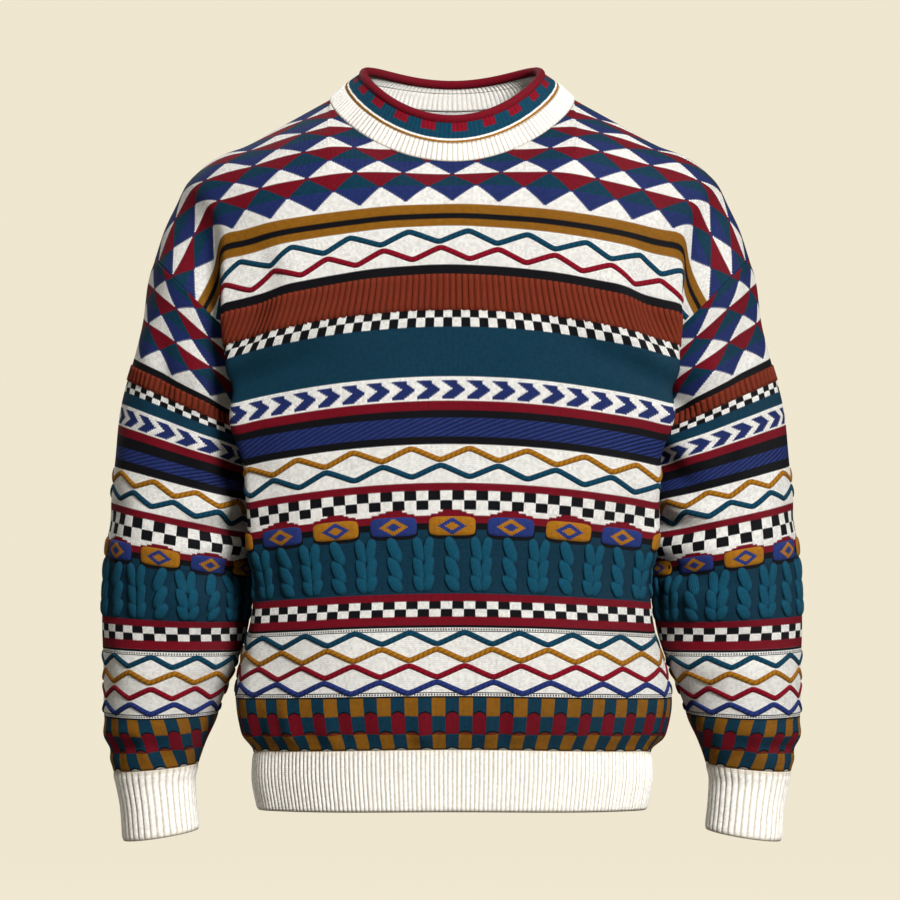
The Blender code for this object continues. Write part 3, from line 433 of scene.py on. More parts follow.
def folds(a, b, table):
    """Heights of soft ridges and troughs; a row holds a line on the cloth, a width and a rise."""
    total = np.zeros_like(a)
    for a0, b0, a1, b1, width, rise in np.array(table) * MM:
        length = math.hypot(a1 - a0, b1 - b0)
        along = ((a - a0) * (a1 - a0) + (b - b0) * (b1 - b0)) / length ** 2
        off = ((a - a0) * (b1 - b0) - (b - b0) * (a1 - a0)) / length
        ends = smooth((along + 0.25) / 0.5) * smooth((1.25 - along) / 0.5)
        total += rise * ends * np.exp(-(off / width) ** 2)
    return total


def ripples(a, b, table):
    """Gentle unevenness. Each row is a height in mm, two wavelengths in mm and a phase."""
    total = np.zeros_like(a)
    for height, wave_a, wave_b, phase in table:
        total += height * MM * np.sin(2 * math.pi * (a / wave_a + b / wave_b) / MM + phase)
    return total


# Rows of folds: from across, from down, to across, to down, width, rise (mm)
FRONT_FOLDS = (
    (232, 300, 120, 262, 16, 2.2), (236, 318, 130, 300, 14, -2.6), (240, 345, 150, 352, 18, 2.0),
    (246, 372, 170, 400, 15, -1.8), (205, 190, 226, 262, 15, -2.2), (180, 205, 196, 300, 16, 1.6),
    (262, 430, 190, 470, 20, 1.8), (268, 470, 200, 520, 18, -1.6), (40, 560, 150, 600, 30, 1.2),
    (-232, 296, -126, 270, 15, 2.0), (-238, 318, -120, 306, 15, -2.4),
    (-242, 350, -150, 362, 17, 2.0), (-250, 380, -176, 410, 16, -1.6),
    (-200, 192, -224, 266, 16, -2.0), (-176, 200, -190, 290, 15, 1.5),
    (-262, 436, -196, 486, 19, 1.6), (-266, 480, -200, 516, 17, -1.6),
    (-60, 590, -170, 560, 28, 1.0))
BACK_FOLDS = (
    (232, 296, 110, 250, 17, 2.6), (236, 320, 118, 290, 15, -2.8), (242, 352, 140, 360, 18, 2.2),
    (120, 200, 60, 190, 22, -1.4), (250, 400, 170, 440, 18, -2.0), (70, 480, -90, 500, 30, 1.6),
    (60, 520, -110, 530, 26, -1.6), (-232, 300, -116, 256, 16, 2.4),
    (-238, 322, -124, 296, 15, -2.8), (-244, 348, -150, 356, 18, 2.0),
    (-250, 396, -180, 436, 18, -1.8), (-120, 204, -50, 192, 22, -1.2))
# Rows of ripples: height, wavelength across, wavelength down (mm), phase
PANEL_RIPPLES = ((0.8, 210, 160, 0.4), (0.6, -150, 240, 1.7), (0.5, 95, 310, 3.0),
                 (0.35, -70, -130, 5.1))
PUCKERS = ((0.9, 47, 900, 0.3), (0.7, 31, -600, 2.0), (0.5, 22, 700, 4.1))
# The sleeve's front half has negative places across
SLEEVE_FOLDS = (
    (-70, 70, -112, 190, 15, -3.2), (-112, 60, -150, 150, 15, 2.6),
    (-180, 20, -96, 92, 14, 2.8), (-196, 48, -120, 132, 13, -3.4),
    (-200, 84, -130, 176, 14, 2.8), (-205, 120, -140, 205, 13, -3.0),
    (-30, 110, -44, 210, 18, 1.6), (-205, 188, -120, 232, 13, 2.6),
    (-208, 214, -110, 250, 12, -3.4), (-205, 246, -90, 262, 13, 2.4),
    (-200, 268, -110, 300, 12, -2.6), (-60, 236, 10, 256, 16, -1.6),
    (-190, 300, -100, 326, 15, 2.0), (-180, 352, -70, 366, 15, -2.0),
    (-160, 384, -60, 392, 15, 1.6), (-90, 446, 30, 452, 9, 1.8),
    (-80, 462, 40, 468, 7, -1.6), (60, 452, 130, 446, 9, 1.8),
    (180, 20, 100, 96, 15, 2.8), (196, 50, 118, 140, 14, -3.2), (202, 92, 130, 180, 14, 2.6),
    (206, 130, 140, 210, 14, -2.8), (205, 192, 96, 226, 13, 2.8), (206, 220, 90, 246, 12, -3.4),
    (204, 250, 100, 262, 13, 2.6), (196, 276, 110, 300, 13, -2.4), (176, 350, 80, 360, 15, -2.0),
    (40, 120, 60, 200, 18, -1.8), (20, 300, 90, 330, 20, 1.6))
SLEEVE_RIPPLES = ((0.8, 120, 150, 0.9), (0.6, -80, 210, 2.2), (0.4, 60, -110, 4.0))

FACINGS = (("front", FRONT_SECTIONS, -1, FRONT_FOLDS), ("back", BACK_SECTIONS, 1, BACK_FOLDS))
NECK_COLUMNS = 66        # columns from the centre line to the neck point
SHOULDER_COLUMNS = 88    # columns from the neck point to the armhole
YOKE_ROWS = 56
BODY_ROWS = 176
SLEEVE_TURNS = 192
SLEEVE_ROWS = 199
PANEL_FOLD = 1.6         # how strongly the listed folds are pressed into each piece
SLEEVE_FOLD = 1.45
WELT_RIBS = 140          # ribs across one half of the hem, and round a cuff and the neck
CUFF_RIBS = 36
NECK_RIBS = 144
NECK_RADIUS = 0.1        # turns the angle round the neck into a flat place
BAND_LEVEL = 0.021       # height of one level of the neckband
BLOCK_STEP = 0.0314      # distance from one burgundy block of the neckband to the next
RIB_SQUARE = 3.5         # 2 gives ribs a round top, and more a flatter one
SUNK_RIB = 0.35          # share of a rib's height that lies under the cloth's face
INNER_RIB = 0.6          # height of the ribs inside the neck, as a share of those outside
BAND_RIB = 0.0007        # height of the patterned band's ribs
BAND_SINK = 0.0003


def side_to_side(values, sign):
    """A full row or grid from its right half."""
    return np.concatenate((values[:, :0:-1] * sign, values), axis=1)


def panel_surface(sections, facing, table):
    """One panel from the neckline and shoulder down to the hem, with its folds."""
    even = np.concatenate((np.linspace(0.0, NECK_HALF, NECK_COLUMNS + 1),
                           np.linspace(NECK_HALF, HALF_WIDTH, SHOULDER_COLUMNS + 1)[1:]))
    turns = np.linspace(0.0, math.pi / 2, NECK_COLUMNS + 1)
    round_neck = np.concatenate((NECK_HALF * np.sin(turns), even[NECK_COLUMNS + 1:]))
    rows, columns_u = [], []
    for t in np.linspace(0.0, 1.0, YOKE_ROWS + 1)[:-1]:
        u = round_neck + (even - round_neck) * smooth(t * 1.5)
        end = panel_row(YOKE_END, sections, facing, u)
        slope = panel_row(YOKE_END + SLOPE_STEP, sections, facing, u) - end
        rows.append([yoke_column(u[k], end[k], slope[k], facing, np.array([t]))[0]
                     for k in range(len(u))])
        columns_u.append(u)
    heights = np.linspace(YOKE_END, PANEL_END, BODY_ROWS + 1)
    for v in heights:
        rows.append(panel_row(v, sections, facing, even))
        columns_u.append(even)
    points, u = np.array(rows), np.array(columns_u)
    steps = np.linalg.norm(np.diff(points[:YOKE_ROWS + 1], axis=0), axis=2)
    aside = np.diff(u[:YOKE_ROWS + 1], axis=0)
    steps = np.sqrt(np.maximum(steps ** 2 - aside ** 2, (0.5 * steps) ** 2))
    yoke_v = YOKE_END - np.cumsum(steps[::-1], axis=0)[::-1]
    v = np.concatenate((yoke_v, np.repeat(heights[:, None], len(even), axis=1)))
    points = side_to_side(points, np.array([-1, 1, 1]))
    places = np.stack((side_to_side(u, -1), side_to_side(v, 1)), axis=2)
    a_lines = np.concatenate((-even[:0:-1], even))
    b_lines = np.concatenate((np.linspace(-1.0, 0.0, YOKE_ROWS + 1)[:-1], heights))
    surface = Surface(a_lines, b_lines, points, places, outward=facing)
    u, v = places[..., 0], places[..., 1]
    seam = smooth((HALF_WIDTH - np.abs(u)) / 0.014) * smooth((PANEL_END - v) / 0.016)
    row = np.arange(len(b_lines))[:, None] / YOKE_ROWS
    seam = seam * smooth(row / 0.6)
    gathers = ripples(u, v, PUCKERS) * smooth((v - 0.590) / 0.07)
    surface.swell((folds(u, v, table) * PANEL_FOLD + ripples(u, v, PANEL_RIPPLES) + gathers) * seam)
    return surface


def welt_surface(sections, facing, per_rib=5):
    """One half of the hem rib, with a few columns for each rib."""
    half = np.linspace(0.0, HALF_WIDTH, WELT_RIBS // 2 * per_rib + 1)
    heights = np.linspace(PANEL_END, HEM_END, 20)
    points = side_to_side(np.array([panel_row(v, sections, facing, half) for v in heights]),
                          np.array([-1, 1, 1]))
    u = np.concatenate((-half[:0:-1], half))
    places = np.stack(np.broadcast_arrays(u[None, :], heights[:, None]), axis=2)
    return Surface(u, heights, points, places, outward=facing)


def armhole_edge(turn):
    """A point of the panels' armhole edge, by the turn round the sleeve."""
    _, sections, facing, _ = FACINGS[0 if turn < 0 else 1]
    v = armhole_v(turn)
    side = np.array([HALF_WIDTH])
    if v >= YOKE_END:
        return panel_row(v, sections, facing, side)[0]
    end = panel_row(YOKE_END, sections, facing, side)[0]
    slope = panel_row(YOKE_END + SLOPE_STEP, sections, facing, side)[0] - end
    share = (v - SHOULDER_DROP) / (YOKE_END - SHOULDER_DROP)
    return yoke_column(HALF_WIDTH, end, slope, facing, np.array([share]))[0]


def tube_surface(turns, lengths, edge=None):
    """Rings of the right-hand sleeve; edge holds the armhole's points for the first rings."""
    plain = None if edge is None else np.array([sleeve_ring(turn, 0.0) for turn in turns])
    rows = []
    for s in lengths:
        ring = np.array([sleeve_ring(turn, s) for turn in turns])
        if edge is not None:
            ring += (edge - plain) * (1.0 - smooth(s / SLEEVE_BLEND))
        rows.append(ring)
    half = np.array([sleeve_half_width(s) for s in lengths])
    places = np.stack(np.broadcast_arrays(turns[None, :] * half[:, None], lengths[:, None]), axis=2)
    return Surface(turns, lengths, np.array(rows), places, ring=True, outward=-1)


def sleeve_surface():
    """The right-hand sleeve from the armhole to the cuff, with its folds."""
    turns = np.linspace(-1.0, 1.0, SLEEVE_TURNS + 1)
    lengths = np.linspace(0.0, SLEEVE_END, SLEEVE_ROWS + 1)
    surface = tube_surface(turns, lengths, np.array([armhole_edge(turn) for turn in turns]))
    w, s = surface.places[..., 0], surface.places[..., 1]
    seam = smooth(s / 0.018) * smooth((SLEEVE_END - s) / 0.014)
    under = smooth((1.0 - np.abs(surface.a_lines))[None, :] / 0.12)
    gathers = ripples(w, s, PUCKERS) * smooth((s - 0.425) / 0.05)
    surface.swell((folds(w, s, SLEEVE_FOLDS) * under * SLEEVE_FOLD
                   + ripples(w, s, SLEEVE_RIPPLES) * under + gathers * under) * seam)
    return surface


def cuff_surface(per_rib=7):
    """The right-hand cuff, with a few columns for each rib."""
    turns = np.linspace(-1.0, 1.0, CUFF_RIBS * per_rib + 1)
    return tube_surface(turns, np.linspace(SLEEVE_END, CUFF_END, 28))


def neck_surface(first, last, rows=14, per_rib=6):
    """Rings of the neckband between two levels; places are round the neck and by level."""
    angles = np.linspace(-math.pi, math.pi, NECK_RIBS * per_rib + 1)
    levels = np.linspace(first, last, rows)
    points = np.array([[neck_ring(angle, level) for angle in angles] for level in levels])
    places = np.stack(np.broadcast_arrays(angles[None, :] * NECK_RADIUS, levels[:, None]), axis=2)
    return Surface(angles, levels, points, places, ring=True, outward=1)


def new_mesh(name, points, faces, uvs, slots, materials):
    """A smooth mesh object. The uvs are flat places in metres, one for each corner of each face."""
    mesh = bpy.data.meshes.new(name)
    mesh.from_pydata(points.tolist(), [], faces)
    layer = mesh.uv_layers.new(name="flat")
    layer.data.foreach_set("uv", np.asarray(uvs, dtype=np.float32).ravel())
    for material in materials:
        mesh.materials.append(material)
    mesh.polygons.foreach_set("material_index", np.asarray(slots, dtype=np.int32))
    mesh.polygons.foreach_set("use_smooth", np.ones(len(faces), dtype=bool))
    mesh.update()
    piece = bpy.data.objects.new(name, mesh)
    bpy.context.scene.collection.objects.link(piece)
    return piece


def cloth(name, surface, heights, inner_heights, skip, materials, node=None):
    """A closed cloth wall: the surface outside, a copy of it inside with fewer lines, and rims.

    heights are what stands on the outer face, inner_heights what stands on the inner face.
    skip gives the steps between the inner face's lines, down and across.
    """
    rows, columns = surface.points.shape[:2]
    outer = surface.points + surface.normals * np.asarray(heights)[..., None]
    pick_rows = np.append(np.arange(0, rows - 1, skip[0]), rows - 1)
    pick_columns = np.append(np.arange(0, columns - 1, skip[1]), columns - 1)
    grid = np.ix_(pick_rows, pick_columns)
    depth = WALL + np.broadcast_to(np.asarray(inner_heights), (rows, columns))[grid]
    inner = surface.points[grid] - surface.normals[grid] * depth[..., None]
    ids = np.arange(rows * columns).reshape(rows, columns)
    inner_ids = rows * columns + np.arange(inner.shape[0] * inner.shape[1]).reshape(inner.shape[:2])
    first = np.stack((ids[:-1, :-1], ids[:-1, 1:], ids[1:, 1:], ids[1:, :-1]), axis=-1)
    second = np.stack((inner_ids[:-1, :-1], inner_ids[1:, :-1], inner_ids[1:, 1:],
                       inner_ids[:-1, 1:]), axis=-1)
    faces = first.reshape(-1, 4).tolist()
    slots = [0] * len(faces)
    faces += second.reshape(-1, 4).tolist()
    slots += [1] * (len(faces) - len(slots))
    for row, inner_row, forward in ((0, 0, False), (rows - 1, -1, True)):
        for k in range(len(pick_columns) - 1):
            run = ids[row, pick_columns[k]:pick_columns[k + 1] + 1].tolist()
            ends = [int(inner_ids[inner_row, k]), int(inner_ids[inner_row, k + 1])]
            faces.append(run + ends[::-1] if forward else run[::-1] + ends)
    if not surface.ring:
        for column, inner_column, forward in ((0, 0, True), (columns - 1, -1, False)):
            for k in range(len(pick_rows) - 1):
                run = ids[pick_rows[k]:pick_rows[k + 1] + 1, column].tolist()
                ends = [int(inner_ids[k, inner_column]), int(inner_ids[k + 1, inner_column])]
                faces.append(run + ends[::-1] if forward else run[::-1] + ends)
    slots += [1] * (len(faces) - len(slots))
    points = np.concatenate((outer.reshape(-1, 3), inner.reshape(-1, 3)))
    places = np.concatenate((surface.places.reshape(-1, 2), surface.places[grid].reshape(-1, 2)))
    if surface.outward < 0:
        faces = [face[::-1] for face in faces]
    corners = np.fromiter((corner for face in faces for corner in face), int)
    uvs = places[corners]
    if surface.ring:
        home = np.arange(len(points))
        home[ids[:, -1]] = ids[:, 0]
        home[inner_ids[:, -1]] = inner_ids[:, 0]
        used, packed = np.unique(home, return_inverse=True)
        points = points[used]
        faces = [[int(packed[c]) for c in face] for face in faces]
    piece = new_mesh(name, points, faces, uvs, slots, materials)
    stand = np.concatenate((np.broadcast_to(heights, (rows, columns)).ravel(),
                            np.broadcast_to(inner_heights, (rows, columns))[grid].ravel()))
    if surface.ring:
        stand = stand[used]
    layer = piece.data.attributes.new("stand", "FLOAT", "POINT")
    layer.data.foreach_set("value", stand.astype(np.float32))
    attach(piece, "root")
    if node:
        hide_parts(node)
    return piece


def tube(points, normals, half_width, height, sink, sides=8):
    """A flattened tube along points that lie on the cloth: vertices, faces and uvs.

    Its uvs are the distance along and the share round it.
    """
    along = np.gradient(points, axis=0)
    across = unit(np.cross(normals, along))
    angles = np.linspace(0.0, 2 * math.pi, sides, endpoint=False)
    lift = np.where(np.sin(angles) > 0.0, 1.0, 0.5) * np.sin(angles)
    width, rise = (np.broadcast_to(x, len(points))[:, None, None] for x in (half_width, height))
    rings = (points[:, None] + across[:, None] * np.cos(angles)[None, :, None] * width
             + normals[:, None] * (lift[None, :, None] * rise - sink))
    count = len(points)
    ids = np.arange(count * sides).reshape(count, sides)
    turned = np.roll(ids, -1, axis=1)
    quads = np.stack((ids[:-1], turned[:-1], turned[1:], ids[1:]), axis=-1).reshape(-1, 4)
    length = lengths_along(points)
    round_it = np.arange(sides) / sides
    low, high = length[:-1, None], length[1:, None]
    a0, a1 = round_it[None, :], round_it[None, :] + 1.0 / sides
    uvs = np.stack([np.stack(np.broadcast_arrays(*pair), axis=-1)
                    for pair in ((low, a0), (low, a1), (high, a1), (high, a0))], axis=2)
    faces = quads.tolist() + [ids[0][::-1].tolist(), ids[-1].tolist()]
    ends = [(0.0, x) for x in round_it[::-1]] + [(length[-1], x) for x in round_it]
    return rings.reshape(-1, 3), faces, np.concatenate((uvs.reshape(-1, 2), ends))


class Trim:
    """Gathers raised parts of one piece and makes it."""

    def __init__(self):
        self.points, self.faces, self.uvs, self.slots, self.count = [], [], [], [], 0

    def add(self, points, faces, uvs, slot=0):
        self.points.append(points)
        self.faces += [[c + self.count for c in face] for face in faces]
        self.uvs.append(uvs)
        self.slots += [slot] * len(faces)
        self.count += len(points)

    def make(self, name, materials):
        piece = new_mesh(name, np.concatenate(self.points), self.faces,
                         np.concatenate(self.uvs), self.slots, materials)
        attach(piece, "root")
        return piece


def rounded_zigzag(u, half):
    """A zigzag between -1 and 1 with rounded corners and a crest at u = 0."""
    return np.arcsin(np.cos(math.pi * u / half) * CORD_ROUND) / math.asin(CORD_ROUND)


def cord_tubes(trim, surface, cords, rise, half_width, height, places):
    """Zigzag cords of one piece; places gives lines and flat places across at a height."""
    for centre, colour, half, crest in cords:
        centre *= MM
        lines, across = places(centre)
        v = centre - rise * rounded_zigzag(across - crest * MM, half * MM)
        points, normals = surface.read(lines, v)
        trim.add(*tube(points, normals, half_width, height, height * CORD_SINK),
                 slot=CORD_YARNS.index(colour))


def pad(surface, centre, half, read_scale=1.0, rows=10, columns=18):
    """A low cushion on the cloth with rounded corners; its uvs run from -1 to 1."""
    s = np.linspace(-1.0, 1.0, columns + 1)
    t = np.linspace(-1.0, 1.0, rows + 1)
    s, t = np.meshgrid(np.sin(s * math.pi / 2), np.sin(t * math.pi / 2))
    reach = np.maximum(np.abs(s), np.abs(t))
    round_it = (np.abs(s) ** PAD_SQUARE + np.abs(t) ** PAD_SQUARE) ** (1.0 / PAD_SQUARE)
    fit = np.where(round_it > 1e-9, reach / np.maximum(round_it, 1e-9), 1.0)
    x, y = s * fit, t * fit
    lift = PAD_HEIGHT * (1.0 - reach ** 4) ** 0.6 - PAD_SINK
    points, normals = surface.read((centre[0] + x * half[0]) / read_scale, centre[1] + y * half[1])
    points = points + normals * lift[..., None]
    ids = np.arange(x.size).reshape(x.shape)
    quads = np.stack((ids[:-1, :-1], ids[:-1, 1:], ids[1:, 1:], ids[1:, :-1]), -1).reshape(-1, 4)
    rim = np.concatenate((ids[0, :-1], ids[:-1, -1], ids[-1, :0:-1], ids[:0:-1, 0]))
    if surface.outward > 0:
        faces = quads.tolist() + [rim[::-1].tolist()]
        corners = np.concatenate((quads.ravel(), rim[::-1]))
    else:
        faces = quads[:, ::-1].tolist() + [rim.tolist()]
        corners = np.concatenate((quads[:, ::-1].ravel(), rim))
    places = np.stack((x.ravel(), y.ravel()), axis=1)
    return points.reshape(-1, 3), faces, places[corners]


class Yarns(bpy.types.PropertyGroup):
    """Yarn colours, with a brighter copy of teal as painted light on the raised cables."""

    teal: bpy.props.FloatVectorProperty(
        name="Teal", description="Broad bands, cords and the neckband",
        subtype="COLOR", size=3, min=0.0, max=1.0, default=(0.0035, 0.044, 0.082))
    # painted light: the cables are the same teal yarn, brightened here for the light on their
    # raised strands
    lit_teal: bpy.props.FloatVectorProperty(
        name="Lit teal", description="Cables",
        subtype="COLOR", size=3, min=0.0, max=1.0, default=(0.004, 0.060, 0.104))
    burgundy: bpy.props.FloatVectorProperty(
        name="Burgundy", description="Stripes, ovals and the rolled edge",
        subtype="COLOR", size=3, min=0.0, max=1.0, default=(0.200, 0.003, 0.013))
    navy: bpy.props.FloatVectorProperty(
        name="Navy", description="Lattice, chevrons and the braid",
        subtype="COLOR", size=3, min=0.0, max=1.0, default=(0.016, 0.030, 0.145))
    ochre: bpy.props.FloatVectorProperty(
        name="Ochre", description="Stripes, cords and tiles",
        subtype="COLOR", size=3, min=0.0, max=1.0, default=(0.310, 0.125, 0.008))
    rust: bpy.props.FloatVectorProperty(
        name="Rust", description="The ribbed band of the chest",
        subtype="COLOR", size=3, min=0.0, max=1.0, default=(0.170, 0.024, 0.009))
    ecru: bpy.props.FloatVectorProperty(
        name="Ecru", description="Ground, hem, cuffs and neck rib",
        subtype="COLOR", size=3, min=0.0, max=1.0, default=(1.000, 0.980, 0.930))
    black: bpy.props.FloatVectorProperty(
        name="Black", description="Thin stripes and checks",
        subtype="COLOR", size=3, min=0.0, max=1.0, default=(0.004, 0.004, 0.006))


class Gauge(bpy.types.PropertyGroup):
    """Sizes of the knitting."""

    stitch_width: bpy.props.FloatProperty(
        name="Stitch width", description="Width of one stitch of the panels",
        unit="LENGTH", default=0.00225, min=0.001, max=0.01, precision=5)
    stitch_height: bpy.props.FloatProperty(
        name="Stitch height", description="Height of one course of the panels",
        unit="LENGTH", default=0.0017, min=0.001, max=0.01, precision=5)
    cord_width: bpy.props.FloatProperty(
        name="Cord width", description="Width of the zigzag cords",
        unit="LENGTH", default=0.0054, min=0.002, max=0.01, precision=4)
    cord_rise: bpy.props.FloatProperty(
        name="Cord thickness", description="How far the zigzag cords stand off the cloth",
        unit="LENGTH", default=0.0018, min=0.001, max=0.005, precision=4)
    rib_height: bpy.props.FloatProperty(
        name="Rib height", description="How far the ribs of hem, cuffs and neck stand up",
        unit="LENGTH", default=0.0015, min=0.0, max=0.004, precision=4)


def yarn(name):
    """A yarn's colour with its alpha."""
    return tuple(getattr(bpy.context.scene.sweater_yarns, name)) + (1.0,)


class Nodes:
    """Short names for the nodes of a shader tree. Numbers may stand wherever a socket may."""

    def __init__(self, tree):
        self.tree = tree

    def node(self, kind, inputs=(), **settings):
        made = self.tree.nodes.new(kind)
        for key, value in settings.items():
            setattr(made, key, value)
        for key, value in dict(inputs).items():
            self.plug(value, made.inputs[key])
        return made

    def plug(self, value, socket):
        if isinstance(value, bpy.types.NodeSocket):
            self.tree.links.new(value, socket)
        else:
            socket.default_value = value

    def math(self, operation, *values, clamp=False):
        made = self.node("ShaderNodeMath", enumerate(values), operation=operation)
        made.use_clamp = clamp
        return made.outputs[0]

    def mix(self, share, first, second):
        made = self.node("ShaderNodeMix", {0: share, 6: first, 7: second}, data_type="RGBA")
        return made.outputs[2]

    def times(self, colour, share):
        made = self.node("ShaderNodeMix", {0: 1.0, 6: colour, 7: share}, data_type="RGBA",
                         blend_type="MULTIPLY")
        return made.outputs[2]

    def between(self, value, low, high):
        return self.math("COMPARE", value, (low + high) / 2, (high - low) / 2)

    def parts(self, vector):
        return self.node("ShaderNodeSeparateXYZ", {0: vector}).outputs[:2]

    def join(self, x, y):
        return self.node("ShaderNodeCombineXYZ", {0: x, 1: y}).outputs[0]

    def odd(self, value, step):
        """1 on every second stretch of the given length."""
        return self.math("GREATER_THAN", self.math("FRACT", self.math("DIVIDE", value, 2 * step)),
                         0.5)

    def hump(self, share):
        """0 at both ends of a unit stretch and 1 in its middle."""
        rest = self.math("SUBTRACT", 1.0, share)
        return self.math("MULTIPLY", self.math("MULTIPLY", share, rest), 4.0)

    def both(self, first, second):
        return self.math("MULTIPLY", first, second)

    def differ(self, first, second):
        return self.math("ABSOLUTE", self.math("SUBTRACT", first, second))

    def oval(self, x, y, half_x, half_y, power):
        """Below 1 inside an oval with square shoulders."""
        shares = [self.math("ABSOLUTE", self.math("DIVIDE", place, half))
                  for place, half in ((x, half_x), (y, half_y))]
        return self.math("ADD", *[self.math("POWER", share, power) for share in shares])


def node_group(name, inputs, outputs):
    """A shader node group with the named sockets, and its input and output nodes."""
    tree = bpy.data.node_groups.new(name, "ShaderNodeTree")
    for socket, kind, default in inputs:
        made = tree.interface.new_socket(name=socket, in_out="INPUT", socket_type=kind)
        if default is not None:
            made.default_value = default
    for socket, kind in outputs:
        tree.interface.new_socket(name=socket, in_out="OUTPUT", socket_type=kind)
    return (tree, Nodes(tree), tree.nodes.new("NodeGroupInput").outputs,
            tree.nodes.new("NodeGroupOutput").inputs)


def stitch_group():
    """Knit stitches: the middle of each stitch, its height and its shade."""
    tree, n, inside, out = node_group(
        "Knit stitches",
        (("Place", "NodeSocketVector", None), ("Width", "NodeSocketFloat", 0.00225),
         ("Height", "NodeSocketFloat", 0.0017)),
        (("Middle", "NodeSocketVector"), ("Relief", "NodeSocketFloat"),
         ("Shade", "NodeSocketFloat")))
    u, v = n.parts(inside["Place"])
    x = n.math("DIVIDE", u, inside["Width"])
    wale = n.math("FLOOR", x)
    side = n.math("ABSOLUTE", n.math("MULTIPLY_ADD", n.math("FRACT", x), 2.0, -1.0))
    y = n.math("MULTIPLY_ADD", side, 0.75, n.math("DIVIDE", v, inside["Height"]))
    course = n.math("FLOOR", y)
    down = n.math("FRACT", y)
    relief = n.math("POWER", n.math("MULTIPLY", n.hump(side), n.hump(down)), 0.45)
    middle = n.join(n.math("MULTIPLY", n.math("ADD", wale, 0.5), inside["Width"]),
                    n.math("MULTIPLY", n.math("ADD", course, 0.12), inside["Height"]))
    chance = n.node("ShaderNodeTexWhiteNoise", {"Vector": n.join(wale, course)},
                    noise_dimensions="2D").outputs["Value"]
    n.plug(middle, out["Middle"])
    n.plug(relief, out["Relief"])
    shade = n.math("MULTIPLY_ADD", chance, 0.24, n.math("MULTIPLY_ADD", relief, 0.74, 0.34))
    n.plug(shade, out["Shade"])
    return tree


